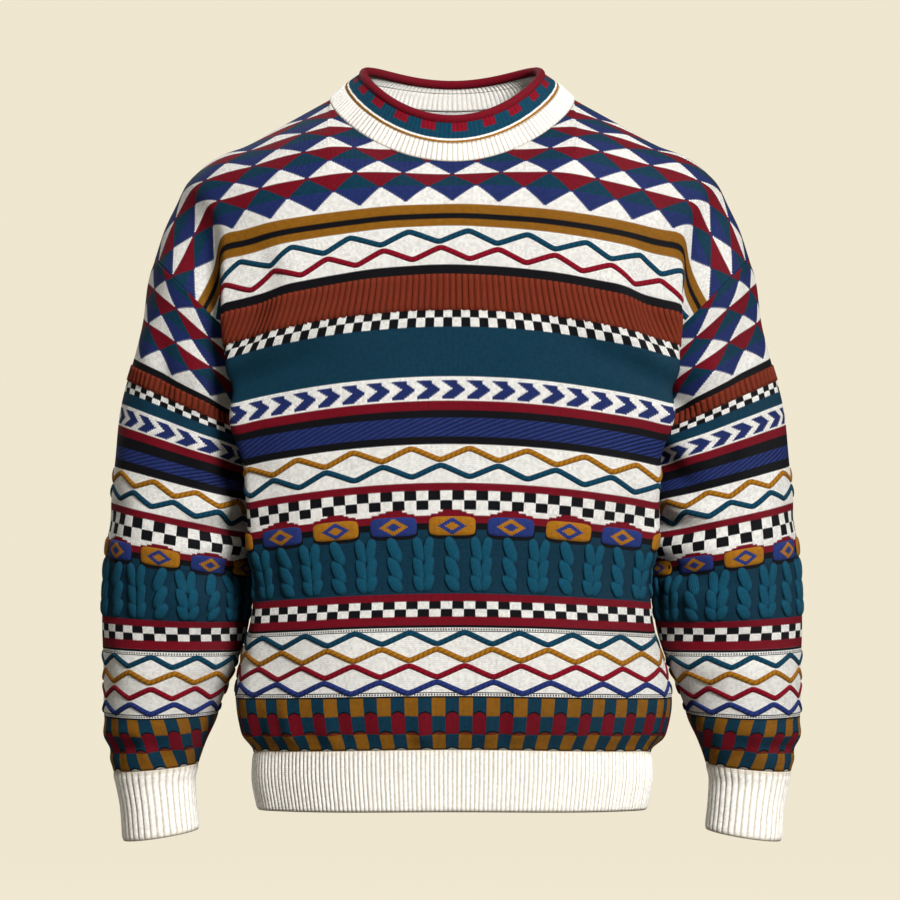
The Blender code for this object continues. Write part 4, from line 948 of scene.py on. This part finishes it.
def chart_group(name, chart):
    """The colours of a knitted chart; Stitch is a stitch's middle and Place the place itself."""
    tree, n, inside, out = node_group(
        name, (("Stitch", "NodeSocketVector", None), ("Place", "NodeSocketVector", None)),
        (("Color", "NodeSocketColor"), ("Relief", "NodeSocketFloat")))
    ecru, black, teal, ochre, navy, burgundy, rust = [
        yarn(x) for x in ("ecru", "black", "teal", "ochre", "navy", "burgundy", "rust")]
    to_mm = (1.0 / MM,) * 3
    (u, v), (x, y) = [n.parts(n.node("ShaderNodeVectorMath", {0: inside[socket], 1: to_mm},
                                     operation="MULTIPLY").outputs[0])
                      for socket in ("Stitch", "Place")]
    colour = ecru
    relief = 0.0
    for kind, low, high, detail in chart:
        band = n.between(v, low, high)
        if kind == "plain":
            colour = n.mix(band, colour, yarn(detail))
        elif kind == "line":
            colour = n.mix(n.between(y, low, high), colour, yarn(detail))
        elif kind == "purl":
            bars = n.math("SINE", n.math("MULTIPLY", y, 2 * math.pi / PURL_PITCH))
            shade = n.math("MULTIPLY_ADD", bars, 0.16, 0.86)
            colour = n.mix(band, colour, n.times(yarn(detail), shade))
        elif kind == "lattice":
            turn = n.math("FRACT", n.math("DIVIDE", n.math("SUBTRACT", v, high), LATTICE_PITCH))
            off = n.math("DIVIDE", n.math("PINGPONG", u, detail / 2), detail / 2)
            upper = n.math("LESS_THAN", turn, 0.5)
            rising = n.math("LESS_THAN", off, n.math("MULTIPLY", turn, 2.0))
            falling = n.math("LESS_THAN", off, n.math("MULTIPLY_ADD", turn, -2.0, 2.0))
            made = n.mix(upper, n.mix(falling, ecru, navy), n.mix(rising, burgundy, teal))
            colour = n.mix(band, colour, made)
        elif kind == "checks":
            lower = n.math("GREATER_THAN", v, (low + high) / 2)
            white = n.differ(n.odd(u, detail), lower)
            colour = n.mix(band, colour, n.mix(white, black, ecru))
        elif kind == "chevrons":
            off = n.math("ABSOLUTE", n.math("DIVIDE", n.math("SUBTRACT", v, (low + high) / 2),
                                            (high - low) / 2))
            lean = n.math("MULTIPLY_ADD", off, 0.55, n.math("DIVIDE", u, detail))
            leaf = n.both(n.math("LESS_THAN", n.math("FRACT", lean), 0.56),
                          n.math("LESS_THAN", off, 0.84))
            colour = n.mix(band, colour, n.mix(leaf, ecru, navy))
        elif kind == "braid":
            lean = n.math("FRACT", n.math("DIVIDE", n.math("MULTIPLY_ADD", y, BRAID_SLOPE, x),
                                          BRAID_PITCH))
            strand = n.math("POWER", n.hump(lean), 0.6)
            relief = n.math("MULTIPLY_ADD", band, strand, relief)
            shade = n.math("MULTIPLY_ADD", strand, 0.8, 0.45)
            colour = n.mix(band, colour, n.times(navy, shade))
        elif kind == "dots":
            colour = n.mix(n.both(n.between(y, low, high), n.odd(x, detail / 2)), colour, black)
        elif kind == "scallops":
            wave = n.math("COSINE", n.math("MULTIPLY", u, 2 * math.pi / detail))
            rim = n.math("MULTIPLY_ADD", wave, -2.7, low + 3.1)
            colour = n.mix(n.both(n.math("GREATER_THAN", v, rim), band), colour, burgundy)
            across = n.math("SUBTRACT", detail / 2,
                            n.math("PINGPONG", n.math("ADD", x, detail / 2), detail / 2))
            down = n.math("SUBTRACT", y, high - 4.8)
            shadow = n.math("LESS_THAN", n.oval(across, down, detail * 0.415, 9.0, 4.0), 1.0)
            between_pads = n.between(y, low + 12.5, high)
            below = n.both(n.math("GREATER_THAN", y, low + 18.5), n.math("LESS_THAN", y, high))
            colour = n.mix(between_pads, colour, black)
            colour = n.mix(below, colour, teal)
            colour = n.mix(shadow, colour, black)
        elif kind == "tiles":
            deep = (high - low) / 3
            row = n.math("FLOOR", n.math("DIVIDE", n.math("SUBTRACT", v, low), deep))
            odd = n.odd(n.math("ADD", x, detail / 2), detail)
            second = n.math("COMPARE", row, 1.0, 0.1)
            warm = n.mix(second, ochre, burgundy)
            made = n.mix(n.differ(odd, second), teal, warm)
            bow = n.math("POWER", n.math("SUBTRACT", 1.0, n.math(
                "DIVIDE", n.math("PINGPONG", n.math("ADD", x, detail / 2), detail / 2),
                detail / 2)), 2.0)
            even = n.math("SUBTRACT", 1.0, odd)
            for line, columns, fill, arc in ((low + deep, even, burgundy, 3.2),
                                             (low + 2 * deep, odd, rust, 2.2),
                                             (high, even, ecru, 2.2)):
                rise = n.math("MULTIPLY_ADD", bow, arc, line - arc)
                inside_arch = n.both(n.both(n.math("GREATER_THAN", y, rise), columns),
                                     n.math("LESS_THAN", y, line + 0.4))
                outline = n.both(n.both(n.math("GREATER_THAN", y, n.math("SUBTRACT", rise, 1.5)),
                                        columns), n.math("LESS_THAN", y, line + 0.4))
                made = n.mix(outline, made, black)
                made = n.mix(inside_arch, made, fill)
            colour = n.mix(n.between(v, low, high), colour, made)
    n.plug(colour, out["Color"])
    n.plug(relief, out["Relief"])
    return tree


def new_material(name):
    """A material whose shader is rough and faintly woolly, its nodes and the flat place."""
    material = bpy.data.materials.new(name)
    material.use_nodes = True
    n = Nodes(material.node_tree)
    shader = material.node_tree.nodes["Principled BSDF"]
    shader.inputs["Roughness"].default_value = 0.88
    shader.inputs["Specular IOR Level"].default_value = 0.05
    shader.inputs["Sheen Weight"].default_value = 0.02
    shader.inputs["Sheen Roughness"].default_value = 0.6
    return material, n, shader, n.node("ShaderNodeUVMap", uv_map="flat").outputs[0]


def fibres(n, place, scale):
    """Fine uneven brightness of the yarn, around a half."""
    return n.node("ShaderNodeTexNoise", {"Vector": place, "Scale": scale, "Detail": 2.0},
                  noise_dimensions="2D").outputs[0]


def finish_material(n, shader, colour, height, depth):
    """Plugs in the colour and a relief of the given depth."""
    bump = n.node("ShaderNodeBump", {"Height": height, "Distance": depth, "Strength": 1.0})
    n.plug(colour, shader.inputs["Base Color"])
    n.plug(bump.outputs[0], shader.inputs["Normal"])


def knitted(name, stitches, chart, width, height, reverse=False):
    """Knitted cloth coloured by a chart. The reverse is a little duller."""
    material, n, shader, place = new_material(name)
    knit = n.node("ShaderNodeGroup", {"Place": place, "Width": width, "Height": height},
                  node_tree=stitches)
    drawn = n.node("ShaderNodeGroup", {"Stitch": knit.outputs["Middle"], "Place": place},
                   node_tree=chart)
    shade = n.math("MULTIPLY", knit.outputs["Shade"],
                   n.math("MULTIPLY_ADD", fibres(n, place, 900.0), 0.24, 0.88))
    if reverse:
        shade = n.math("MULTIPLY", shade, 0.8)
    relief = n.math("MULTIPLY_ADD", drawn.outputs["Relief"], 2.0, knit.outputs["Relief"])
    colour = drawn.outputs["Color"]
    if reverse:
        linked = n.math("LESS_THAN", n.parts(place)[1], NECK_FACING)
        colour = n.mix(linked, colour, yarn("ecru"))
    finish_material(n, shader, n.times(colour, shade), relief, 0.0013)
    return material


def plain_knit(name, stitches, colour, groove_shade, stand, width, height):
    """One yarn in a rib; where the wall stands low it darkens to a painted shade for the groove."""
    material, n, shader, place = new_material(name)
    knit = n.node("ShaderNodeGroup", {"Place": place, "Width": width, "Height": height},
                  node_tree=stitches)
    # painted shade: the colour turns darker and browner where the rib's wall stands low
    raised = n.node("ShaderNodeAttribute", {}, attribute_name="stand").outputs["Fac"]
    raised = n.math("ADD", n.math("DIVIDE", raised, stand), SUNK_RIB, clamp=True)
    shade = n.math("MULTIPLY", knit.outputs["Shade"],
                   n.math("MULTIPLY_ADD", fibres(n, place, 900.0), 0.3, 0.9))
    finish_material(n, shader, n.times(n.mix(raised, groove_shade, colour), shade),
                    knit.outputs["Relief"], 0.0003)
    return material


def twisted(name, colour, pitch, strands):
    """A twisted cord: its flat place is the distance along it and the share round it."""
    material, n, shader, place = new_material(name)
    along, turn = n.parts(place)
    lean = n.math("FRACT", n.math("MULTIPLY_ADD", turn, strands, n.math("DIVIDE", along, pitch)))
    ply = n.math("POWER", n.hump(lean), 0.5)
    grain = fibres(n, place, 1400.0)
    shade = n.math("MULTIPLY_ADD", ply, 0.60, n.math("MULTIPLY_ADD", grain, 0.3, 0.12))
    finish_material(n, shader, n.times(colour, shade), ply, 0.0006)
    return material


def figured_pad(name, stitches, ground, figure):
    """A small cushion with a generic lozenge; its flat place runs from -1 to 1."""
    material, n, shader, place = new_material(name)
    knit = n.node("ShaderNodeGroup", {"Place": place, "Width": 0.1, "Height": 0.15},
                  node_tree=stitches)
    x, y = n.parts(knit.outputs["Middle"])
    far = n.math("MULTIPLY_ADD", n.math("ABSOLUTE", x), 1.6,
                 n.math("MULTIPLY", n.math("ABSOLUTE", y), 1.1))
    lozenge = n.both(n.math("LESS_THAN", far, 1.0), n.math("GREATER_THAN", far, 0.52))
    colour = n.mix(lozenge, ground, figure)
    finish_material(n, shader, n.times(colour, knit.outputs["Shade"]),
                    knit.outputs["Relief"], 0.0004)
    return material


def band_material(name, stitches):
    """The patterned neckband: thin stripes, then teal with burgundy blocks at the top."""
    material, n, shader, place = new_material(name)
    levels = n.node("ShaderNodeVectorMath", {0: place, 1: (1.0, BAND_LEVEL, 1.0)},
                    operation="MULTIPLY").outputs[0]
    knit = n.node("ShaderNodeGroup", {"Place": levels, "Width": 0.0019, "Height": 0.0016},
                  node_tree=stitches)
    u, v = n.parts(knit.outputs["Middle"])
    colour = n.mix(n.math("LESS_THAN", v, 0.0252), yarn("teal"), yarn("ecru"))
    colour = n.mix(n.math("LESS_THAN", v, 0.0234), colour, yarn("ochre"))
    blocks = n.both(n.math("LESS_THAN", n.math("FRACT", n.math("DIVIDE", u, BLOCK_STEP)), 0.47),
                    n.math("GREATER_THAN", v, 0.0315))
    colour = n.mix(blocks, colour, yarn("burgundy"))
    finish_material(n, shader, n.times(colour, knit.outputs["Shade"]),
                    knit.outputs["Relief"], 0.0004)
    return material


def wrapped(name, stitches, colour, girth, width, height):
    """Knit round a tube whose flat place is the distance along it and the share round it."""
    material, n, shader, place = new_material(name)
    along, turn = n.parts(place)
    flat = n.join(n.math("MULTIPLY", turn, girth), along)
    knit = n.node("ShaderNodeGroup", {"Place": flat, "Width": width, "Height": height},
                  node_tree=stitches)
    finish_material(n, shader, n.times(colour, knit.outputs["Shade"]),
                    knit.outputs["Relief"], 0.0006)
    return material


SURFACES = {}


def surfaces():
    """The cloth's surfaces, made once: panels, sleeves, hem, cuffs and neck."""
    if not SURFACES:
        for name, sections, facing, table in FACINGS:
            SURFACES[name] = panel_surface(sections, facing, table)
            SURFACES["welt_" + name] = welt_surface(sections, facing)
        SURFACES["sleeve_right"], SURFACES["cuff_right"] = sleeve_surface(), cuff_surface()
        for part in ("sleeve", "cuff"):
            SURFACES[part + "_left"] = SURFACES[part + "_right"].mirrored()
        SURFACES["neck_rib"] = neck_surface(0.0, 0.992)
        SURFACES["neck_band"] = neck_surface(1.008, 2.0)
    return SURFACES


MATERIALS = {}


def materials():
    """The yarns and knits, made once."""
    if not MATERIALS:
        gauge = bpy.context.scene.sweater_gauge
        stitches = stitch_group()
        wide, tall = gauge.stitch_width, gauge.stitch_height
        for part, chart in (("body", BODY_CHART), ("sleeve", SLEEVE_CHART)):
            drawn = chart_group(part.title() + " chart", chart)
            MATERIALS[part] = knitted(part + " knit", stitches, drawn, wide, tall)
            MATERIALS[part + "_reverse"] = knitted(part + " reverse", stitches, drawn, wide, tall,
                                                   reverse=True)
        # painted shade for the hollows between the ribs
        groove_shade = (0.520, 0.440, 0.330, 1.0)
        MATERIALS["rib"] = plain_knit("Ecru rib", stitches, yarn("ecru"), groove_shade,
                                      gauge.rib_height, 0.0021, 0.0018)
        for name in CORD_YARNS:
            MATERIALS["cord_" + name] = twisted(name.title() + " cord", yarn(name), 0.005, 2.0)
        # the cables take the brightened teal, painted light on their raised strands
        for name, colour, girth in (("cable", "lit_teal", 0.016), ("rust_rib", "rust", 0.014),
                                    ("roll", "burgundy", 0.024)):
            MATERIALS[name] = wrapped(name.title(), stitches, yarn(colour), girth, 0.0021, 0.0017)
        MATERIALS["ochre_pad"] = figured_pad("Ochre pad", stitches, yarn("ochre"), yarn("navy"))
        MATERIALS["navy_pad"] = figured_pad("Navy pad", stitches, yarn("navy"), yarn("ochre"))
        MATERIALS["band"] = band_material("Neckband stripes", stitches)
    return MATERIALS


def rib_relief(count, columns, height):
    """Heights of rounded ribs with narrow grooves between them, across the given columns."""
    share = np.abs(2.0 * (np.linspace(0.0, count, columns) % 1.0) - 1.0)
    return height * (1.0 - share ** RIB_SQUARE)


def knit_ribs(name, count, inside=False, skip=(2, 1)):
    """A ribbed wall that takes the place of the node of the same name."""
    surface, kit = surfaces()[name], materials()
    height = bpy.context.scene.sweater_gauge.rib_height
    rows, columns = surface.points.shape[:2]
    fade = smooth(np.linspace(0.0, 1.0, rows) / 0.08) * smooth(
        np.linspace(1.0, 0.0, rows) / 0.06) * 0.9 + 0.1
    relief = rib_relief(count, columns, height)[None, :] * fade[:, None]
    return cloth(name + "_knit", surface, relief - height * SUNK_RIB,
                 relief * INNER_RIB if inside else 0.0,
                 skip, (kit["rib"], kit["rib"]), name)


def kind_of(name):
    """Which chart and which rows of raised parts a panel or sleeve has."""
    return "body" if name in PANELS else "sleeve"


def knit_plain(names):
    """Walls without ribs, coloured by their chart, in place of the nodes of the same names."""
    kit = materials()
    for name in names:
        kind = kind_of(name)
        cloth(name + "_knit", surfaces()[name], 0.0, 0.0, (3, 3),
              (kit[kind], kit[kind + "_reverse"]), name)


class SWEATER_OT_panels(bpy.types.Operator):
    """Knit the front and back panels"""

    bl_idname = "sweater.panels"
    bl_label = "Knit Panels"
    bl_options = {"REGISTER", "UNDO"}

    def execute(self, context):
        knit_plain(PANELS)
        return {"FINISHED"}


class SWEATER_OT_sleeves(bpy.types.Operator):
    """Knit both sleeves"""

    bl_idname = "sweater.sleeves"
    bl_label = "Knit Sleeves"
    bl_options = {"REGISTER", "UNDO"}

    def execute(self, context):
        knit_plain(SLEEVES)
        return {"FINISHED"}


class SWEATER_OT_ribs(bpy.types.Operator):
    """Knit the ribbed hem and the cuffs"""

    bl_idname = "sweater.ribs"
    bl_label = "Knit Hem and Cuffs"
    bl_options = {"REGISTER", "UNDO"}

    def execute(self, context):
        for name, count in (("welt_front", WELT_RIBS), ("welt_back", WELT_RIBS),
                            ("cuff_left", CUFF_RIBS), ("cuff_right", CUFF_RIBS)):
            knit_ribs(name, count)
        return {"FINISHED"}


def rolled_edge(band, radius, sides=12, length=0.0045):
    """A closed ring of tube on the band's last line; length is the flat place of one step."""
    edge, out = band.points[-1], band.normals[-1]
    down = unit(np.cross(np.gradient(np.concatenate((edge[-2:-1], edge, edge[1:2])),
                                     axis=0)[1:-1], out))
    angles = np.linspace(-math.pi, math.pi, sides, endpoint=False)
    centre = edge - out * (WALL / 2)
    ring = (centre[:-1, None] + out[:-1, None] * np.cos(angles)[None, :, None] * radius
            + down[:-1, None] * np.sin(angles)[None, :, None] * radius)[::2]
    count = len(ring)
    ids = np.arange(count * sides).reshape(count, sides)
    after, turned = np.roll(ids, -1, axis=0), np.roll(ids, -1, axis=1)
    quads = np.stack((ids, turned, np.roll(after, -1, axis=1), after), -1).reshape(-1, 4)
    places = [[((j + a) * length, (k + b) / sides) for a, b in ((0, 0), (0, 1), (1, 1), (1, 0))]
              for j in range(count) for k in range(sides)]
    return ring.reshape(-1, 3), quads.tolist(), np.array(places).reshape(-1, 2)


class SWEATER_OT_neckband(bpy.types.Operator):
    """Knit the ecru neck rib, the patterned band above it and its rolled edge"""

    bl_idname = "sweater.neckband"
    bl_label = "Knit Neckband"
    bl_options = {"REGISTER", "UNDO"}

    roll_radius: bpy.props.FloatProperty(
        name="Roll radius", description="Radius of the rolled edge", unit="LENGTH",
        default=0.0043, min=0.001, max=0.01, precision=4)

    def execute(self, context):
        kit, band = materials(), surfaces()["neck_band"]
        knit_ribs("neck_rib", NECK_RIBS, inside=True, skip=(1, 1))
        rows, columns = band.points.shape[:2]
        relief = rib_relief(NECK_RIBS, columns, BAND_RIB)[None, :] * np.ones((rows, 1))
        inside = rib_relief(NECK_RIBS, columns,
                            context.scene.sweater_gauge.rib_height * INNER_RIB)
        cloth("neck_band_knit", band, relief - BAND_SINK, inside[None, :], (1, 1),
              (kit["band"], kit["rib"]), "neck_band")
        roll = Trim()
        roll.add(*rolled_edge(band, self.roll_radius))
        roll.make("neck_roll", (kit["roll"],))
        return {"FINISHED"}


def places_on_panel(_height):
    """Lines and flat places across a panel."""
    reach = HALF_WIDTH - 0.002
    flat = np.linspace(-reach, reach, int(2 * reach / CORD_STEP))
    return flat, flat


def places_on_sleeve(height):
    """Lines and flat places round a sleeve at a height."""
    half = sleeve_half_width(height)
    turns = np.linspace(-0.998, 0.998, int(2 * half / CORD_STEP))
    return turns, turns * half


class SWEATER_OT_cords(bpy.types.Operator):
    """Lay the zigzag cords on the panels and sleeves"""

    bl_idname = "sweater.cords"
    bl_label = "Lay Cords"
    bl_options = {"REGISTER", "UNDO"}

    def execute(self, context):
        kit, gauge = materials(), context.scene.sweater_gauge
        for name in PANELS + SLEEVES:
            trim = Trim()
            body = name in PANELS
            cord_tubes(trim, surfaces()[name], BODY_CORDS if body else SLEEVE_CORDS,
                       CORD_RISE[kind_of(name)], gauge.cord_width / 2, gauge.cord_rise,
                       places_on_panel if body else places_on_sleeve)
            trim.make(name + "_cords", [kit["cord_" + colour] for colour in CORD_YARNS])
        return {"FINISHED"}


def half_widths(name, heights):
    """What turns flat places across into the surface's lines at the given heights."""
    return 1.0 if name in PANELS else np.array([sleeve_half_width(s) for s in heights])


def lobe(trim, name, start, end, half_width):
    """One crossing strand of a cable: a cushion with tapered ends between two places."""
    t = np.linspace(0.0, 1.0, 13)
    bend = smooth(t)
    u, v = start[0] + (end[0] - start[0]) * bend, start[1] + (end[1] - start[1]) * t
    taper = np.sqrt(np.maximum(1.0 - np.abs(2.0 * t - 1.0) ** 3, 0.02))
    points, normals = surfaces()[name].read(u / half_widths(name, v), v)
    lift = CABLE_HEIGHT * 0.5 * np.sin(math.pi * t)
    trim.add(*tube(points + normals * lift[:, None], normals, half_width * taper,
                   CABLE_HEIGHT * taper, CABLE_HEIGHT * 0.2))


class SWEATER_OT_cables(bpy.types.Operator):
    """Twist the teal cables of the panels and sleeves"""

    bl_idname = "sweater.cables"
    bl_label = "Twist Cables"
    bl_options = {"REGISTER", "UNDO"}

    def execute(self, context):
        kit = materials()
        for name in PANELS + SLEEVES:
            low, high, step = CABLE_ROWS[kind_of(name)]
            pitch = (high - low) / CABLE_CROSSINGS
            reach = HALF_WIDTH if name in PANELS else sleeve_half_width((low + high) / 2)
            trim = Trim()
            count = int((reach - 0.010) / step)
            for k in range(-count, count + 1):
                for i in range(CABLE_CROSSINGS):
                    v = low + i * pitch
                    after = min(v + CABLE_OVERLAP * pitch, high)
                    for start, end, half_width in (DOUBLE_CABLE if k % 2 else SINGLE_CABLE):
                        lobe(trim, name, (k * step + start, v), (k * step + end, after),
                             half_width)
            trim.make(name + "_cables", (kit["cable"],))
        return {"FINISHED"}


class SWEATER_OT_pads(bpy.types.Operator):
    """Set the small figured pads above the cables"""

    bl_idname = "sweater.pads"
    bl_label = "Set Pads"
    bl_options = {"REGISTER", "UNDO"}

    def execute(self, context):
        kit = materials()
        for name in PANELS + SLEEVES:
            v, step, half = PAD_ROWS[kind_of(name)]
            reach = HALF_WIDTH if name in PANELS else sleeve_half_width(v)
            count = int((reach - half[0]) / step)
            trim = Trim()
            for k in range(-count, count + 1):
                trim.add(*pad(surfaces()[name], (k * step, v), half,
                              1.0 if name in PANELS else reach), slot=k % 2)
            trim.make(name + "_pads", (kit["ochre_pad"], kit["navy_pad"]))
        return {"FINISHED"}


class SWEATER_OT_rust_ribs(bpy.types.Operator):
    """Raise the ribs of the rust band"""

    bl_idname = "sweater.rust_ribs"
    bl_label = "Raise Rust Ribs"
    bl_options = {"REGISTER", "UNDO"}

    def execute(self, context):
        kit = materials()
        for name in PANELS + SLEEVES:
            low, high, steps = RUST_ROWS[kind_of(name)]
            reach = HALF_WIDTH if name in PANELS else sleeve_half_width((low + high) / 2)
            count = int((reach - 0.004) / RUST_STEP)
            v = np.linspace(low, high, steps)
            trim = Trim()
            for k in range(-count, count + 1):
                lines = k * RUST_STEP / half_widths(name, v) * np.ones(len(v))
                points, normals = surfaces()[name].read(lines, v)
                trim.add(*tube(points, normals, 0.0026, 0.0018, 0.0004, sides=6))
            trim.make(name + "_rust_ribs", (kit["rust_rib"],))
        return {"FINISHED"}


class SWEATER_OT_cut(bpy.types.Operator):
    """Work out the sleeves' flat widths down their length, which are then not used"""

    bl_idname = "sweater.cut"
    bl_label = "State Cut"
    bl_options = {"REGISTER", "UNDO"}

    def execute(self, context):
        lengths = np.linspace(0.0, SLEEVE_END, 100)
        widths = 2 * np.array([sleeve_half_width(s) for s in lengths])
        for name in SLEEVES:
            2 * sleeve_half_width(CUFF_END)
        return {"FINISHED"}


def room_material(backdrop, backdrop_glow, glow):
    """The room's glow, seen from inside alone; glow is what it lends to the sweater."""
    material = bpy.data.materials.new("Room")
    material.use_nodes = True
    material.cycles.emission_sampling = "NONE"
    n = Nodes(material.node_tree)
    shader = material.node_tree.nodes["Principled BSDF"]
    shader.inputs["Base Color"].default_value = (0.05, 0.05, 0.05, 1.0)
    shader.inputs["Roughness"].default_value = 1.0
    shader.inputs["Specular IOR Level"].default_value = 0.0
    shader.inputs["Emission Color"].default_value = (*backdrop, 1.0)
    clear = n.node("ShaderNodeBsdfTransparent").outputs[0]
    behind = n.node("ShaderNodeNewGeometry").outputs["Backfacing"]
    seen = n.node("ShaderNodeLightPath").outputs["Is Camera Ray"]
    n.plug(n.math("MULTIPLY_ADD", seen, backdrop_glow - glow, glow),
           shader.inputs["Emission Strength"])
    mixed = n.node("ShaderNodeMixShader", {0: behind, 1: shader.outputs[0], 2: clear})
    n.plug(mixed.outputs[0], material.node_tree.nodes["Material Output"].inputs["Surface"])
    return material


def room_mesh(rings=24, sides=64, radius=6.5, floor=-1.3):
    """A ball whose lower part is pressed flat into a floor."""
    points, faces = [], []
    for i in range(rings + 1):
        turn = math.pi * i / rings
        for k in range(sides):
            side = 2 * math.pi * k / sides
            points.append((radius * math.sin(turn) * math.cos(side),
                           radius * math.sin(turn) * math.sin(side),
                           max(radius * math.cos(turn), floor)))
    for i in range(rings):
        for k in range(sides):
            after = (k + 1) % sides
            faces.append([i * sides + k, i * sides + after,
                          (i + 1) * sides + after, (i + 1) * sides + k])
    mesh = bpy.data.meshes.new("room")
    mesh.from_pydata(points, [], faces)
    mesh.polygons.foreach_set("use_smooth", np.ones(len(faces), dtype=bool))
    mesh.update()
    return mesh


class SWEATER_OT_stage(bpy.types.Operator):
    """Set up the camera, the pale room and the soft lights"""

    bl_idname = "sweater.stage"
    bl_label = "Set Up Stage"
    bl_options = {"REGISTER", "UNDO"}

    backdrop: bpy.props.FloatVectorProperty(
        name="Backdrop", description="Colour of the room", subtype="COLOR", size=3,
        min=0.0, max=1.0, default=(0.870, 0.800, 0.630))
    glow: bpy.props.FloatProperty(
        name="Glow", description="How brightly the room lights the sweater", default=0.17, min=0.0)
    backdrop_glow: bpy.props.FloatProperty(
        name="Backdrop glow", description="How bright the room itself looks", default=0.97, min=0.0)
    key_power: bpy.props.FloatProperty(
        name="Key power", description="Power of the main light", default=225.0, min=0.0)

    def execute(self, context):
        scene = context.scene
        room = bpy.data.objects.new("room", room_mesh())
        room.data.materials.append(room_material(self.backdrop, self.backdrop_glow, self.glow))
        scene.collection.objects.link(room)
        for name, place, size, power in (
                ("key", (1.6, -2.85, 1.5), 1.2, self.key_power),
                ("fill", (-2.6, -2.6, 0.2), 2.4, self.key_power * 0.07),
                ("rear", (-1.6, 3.2, 1.8), 2.0, self.key_power * 0.55)):
            light = bpy.data.lights.new(name, "AREA")
            light.energy, light.size = power, size
            lamp = bpy.data.objects.new(name, light)
            lamp.location = place
            aim = Vector(MIDDLE) - Vector(place)
            lamp.rotation_euler = aim.to_track_quat("-Z", "Y").to_euler()
            scene.collection.objects.link(lamp)
        camera = bpy.data.cameras.new("camera")
        camera.lens, camera.sensor_width = CAMERA_LENS, CAMERA_SENSOR
        seat = bpy.data.objects.new("camera", camera)
        seat.location = CAMERA_PLACE
        seat.rotation_euler = (math.pi / 2, 0.0, 0.0)
        scene.collection.objects.link(seat)
        scene.camera = seat
        scene.view_settings.view_transform = "Standard"
        return {"FINISHED"}


class SWEATER_PT_panel(bpy.types.Panel):
    """Sizes, yarns and steps of the sweater"""

    bl_idname = "SWEATER_PT_panel"
    bl_label = "Sweater"
    bl_space_type = "VIEW_3D"
    bl_region_type = "UI"
    bl_category = "Sweater"

    def draw(self, context):
        for group in (context.scene.sweater_yarns, context.scene.sweater_gauge):
            column = self.layout.column()
            for name in group.__annotations__:
                column.prop(group, name)
        for step in STEPS:
            self.layout.operator(step.bl_idname)


STEPS = (SWEATER_OT_panels, SWEATER_OT_sleeves, SWEATER_OT_ribs, SWEATER_OT_neckband,
         SWEATER_OT_cords, SWEATER_OT_cables, SWEATER_OT_pads, SWEATER_OT_rust_ribs,
         SWEATER_OT_cut, SWEATER_OT_stage)
CLASSES = (Yarns, Gauge) + STEPS + (SWEATER_PT_panel,)


def register():
    for item in CLASSES:
        bpy.utils.register_class(item)
    bpy.types.Scene.sweater_yarns = bpy.props.PointerProperty(type=Yarns)
    bpy.types.Scene.sweater_gauge = bpy.props.PointerProperty(type=Gauge)


def unregister():
    del bpy.types.Scene.sweater_gauge
    del bpy.types.Scene.sweater_yarns
    for item in reversed(CLASSES):
        bpy.utils.unregister_class(item)


def main():
    register()
    for step in (bpy.ops.sweater.panels, bpy.ops.sweater.sleeves, bpy.ops.sweater.ribs,
                 bpy.ops.sweater.neckband, bpy.ops.sweater.cords, bpy.ops.sweater.cables,
                 bpy.ops.sweater.pads, bpy.ops.sweater.rust_ribs, bpy.ops.sweater.cut,
                 bpy.ops.sweater.stage):
        if step() != {"FINISHED"}:
            raise RuntimeError("a step of the sweater didn't finish")


if __name__ == "__main__":
    main()
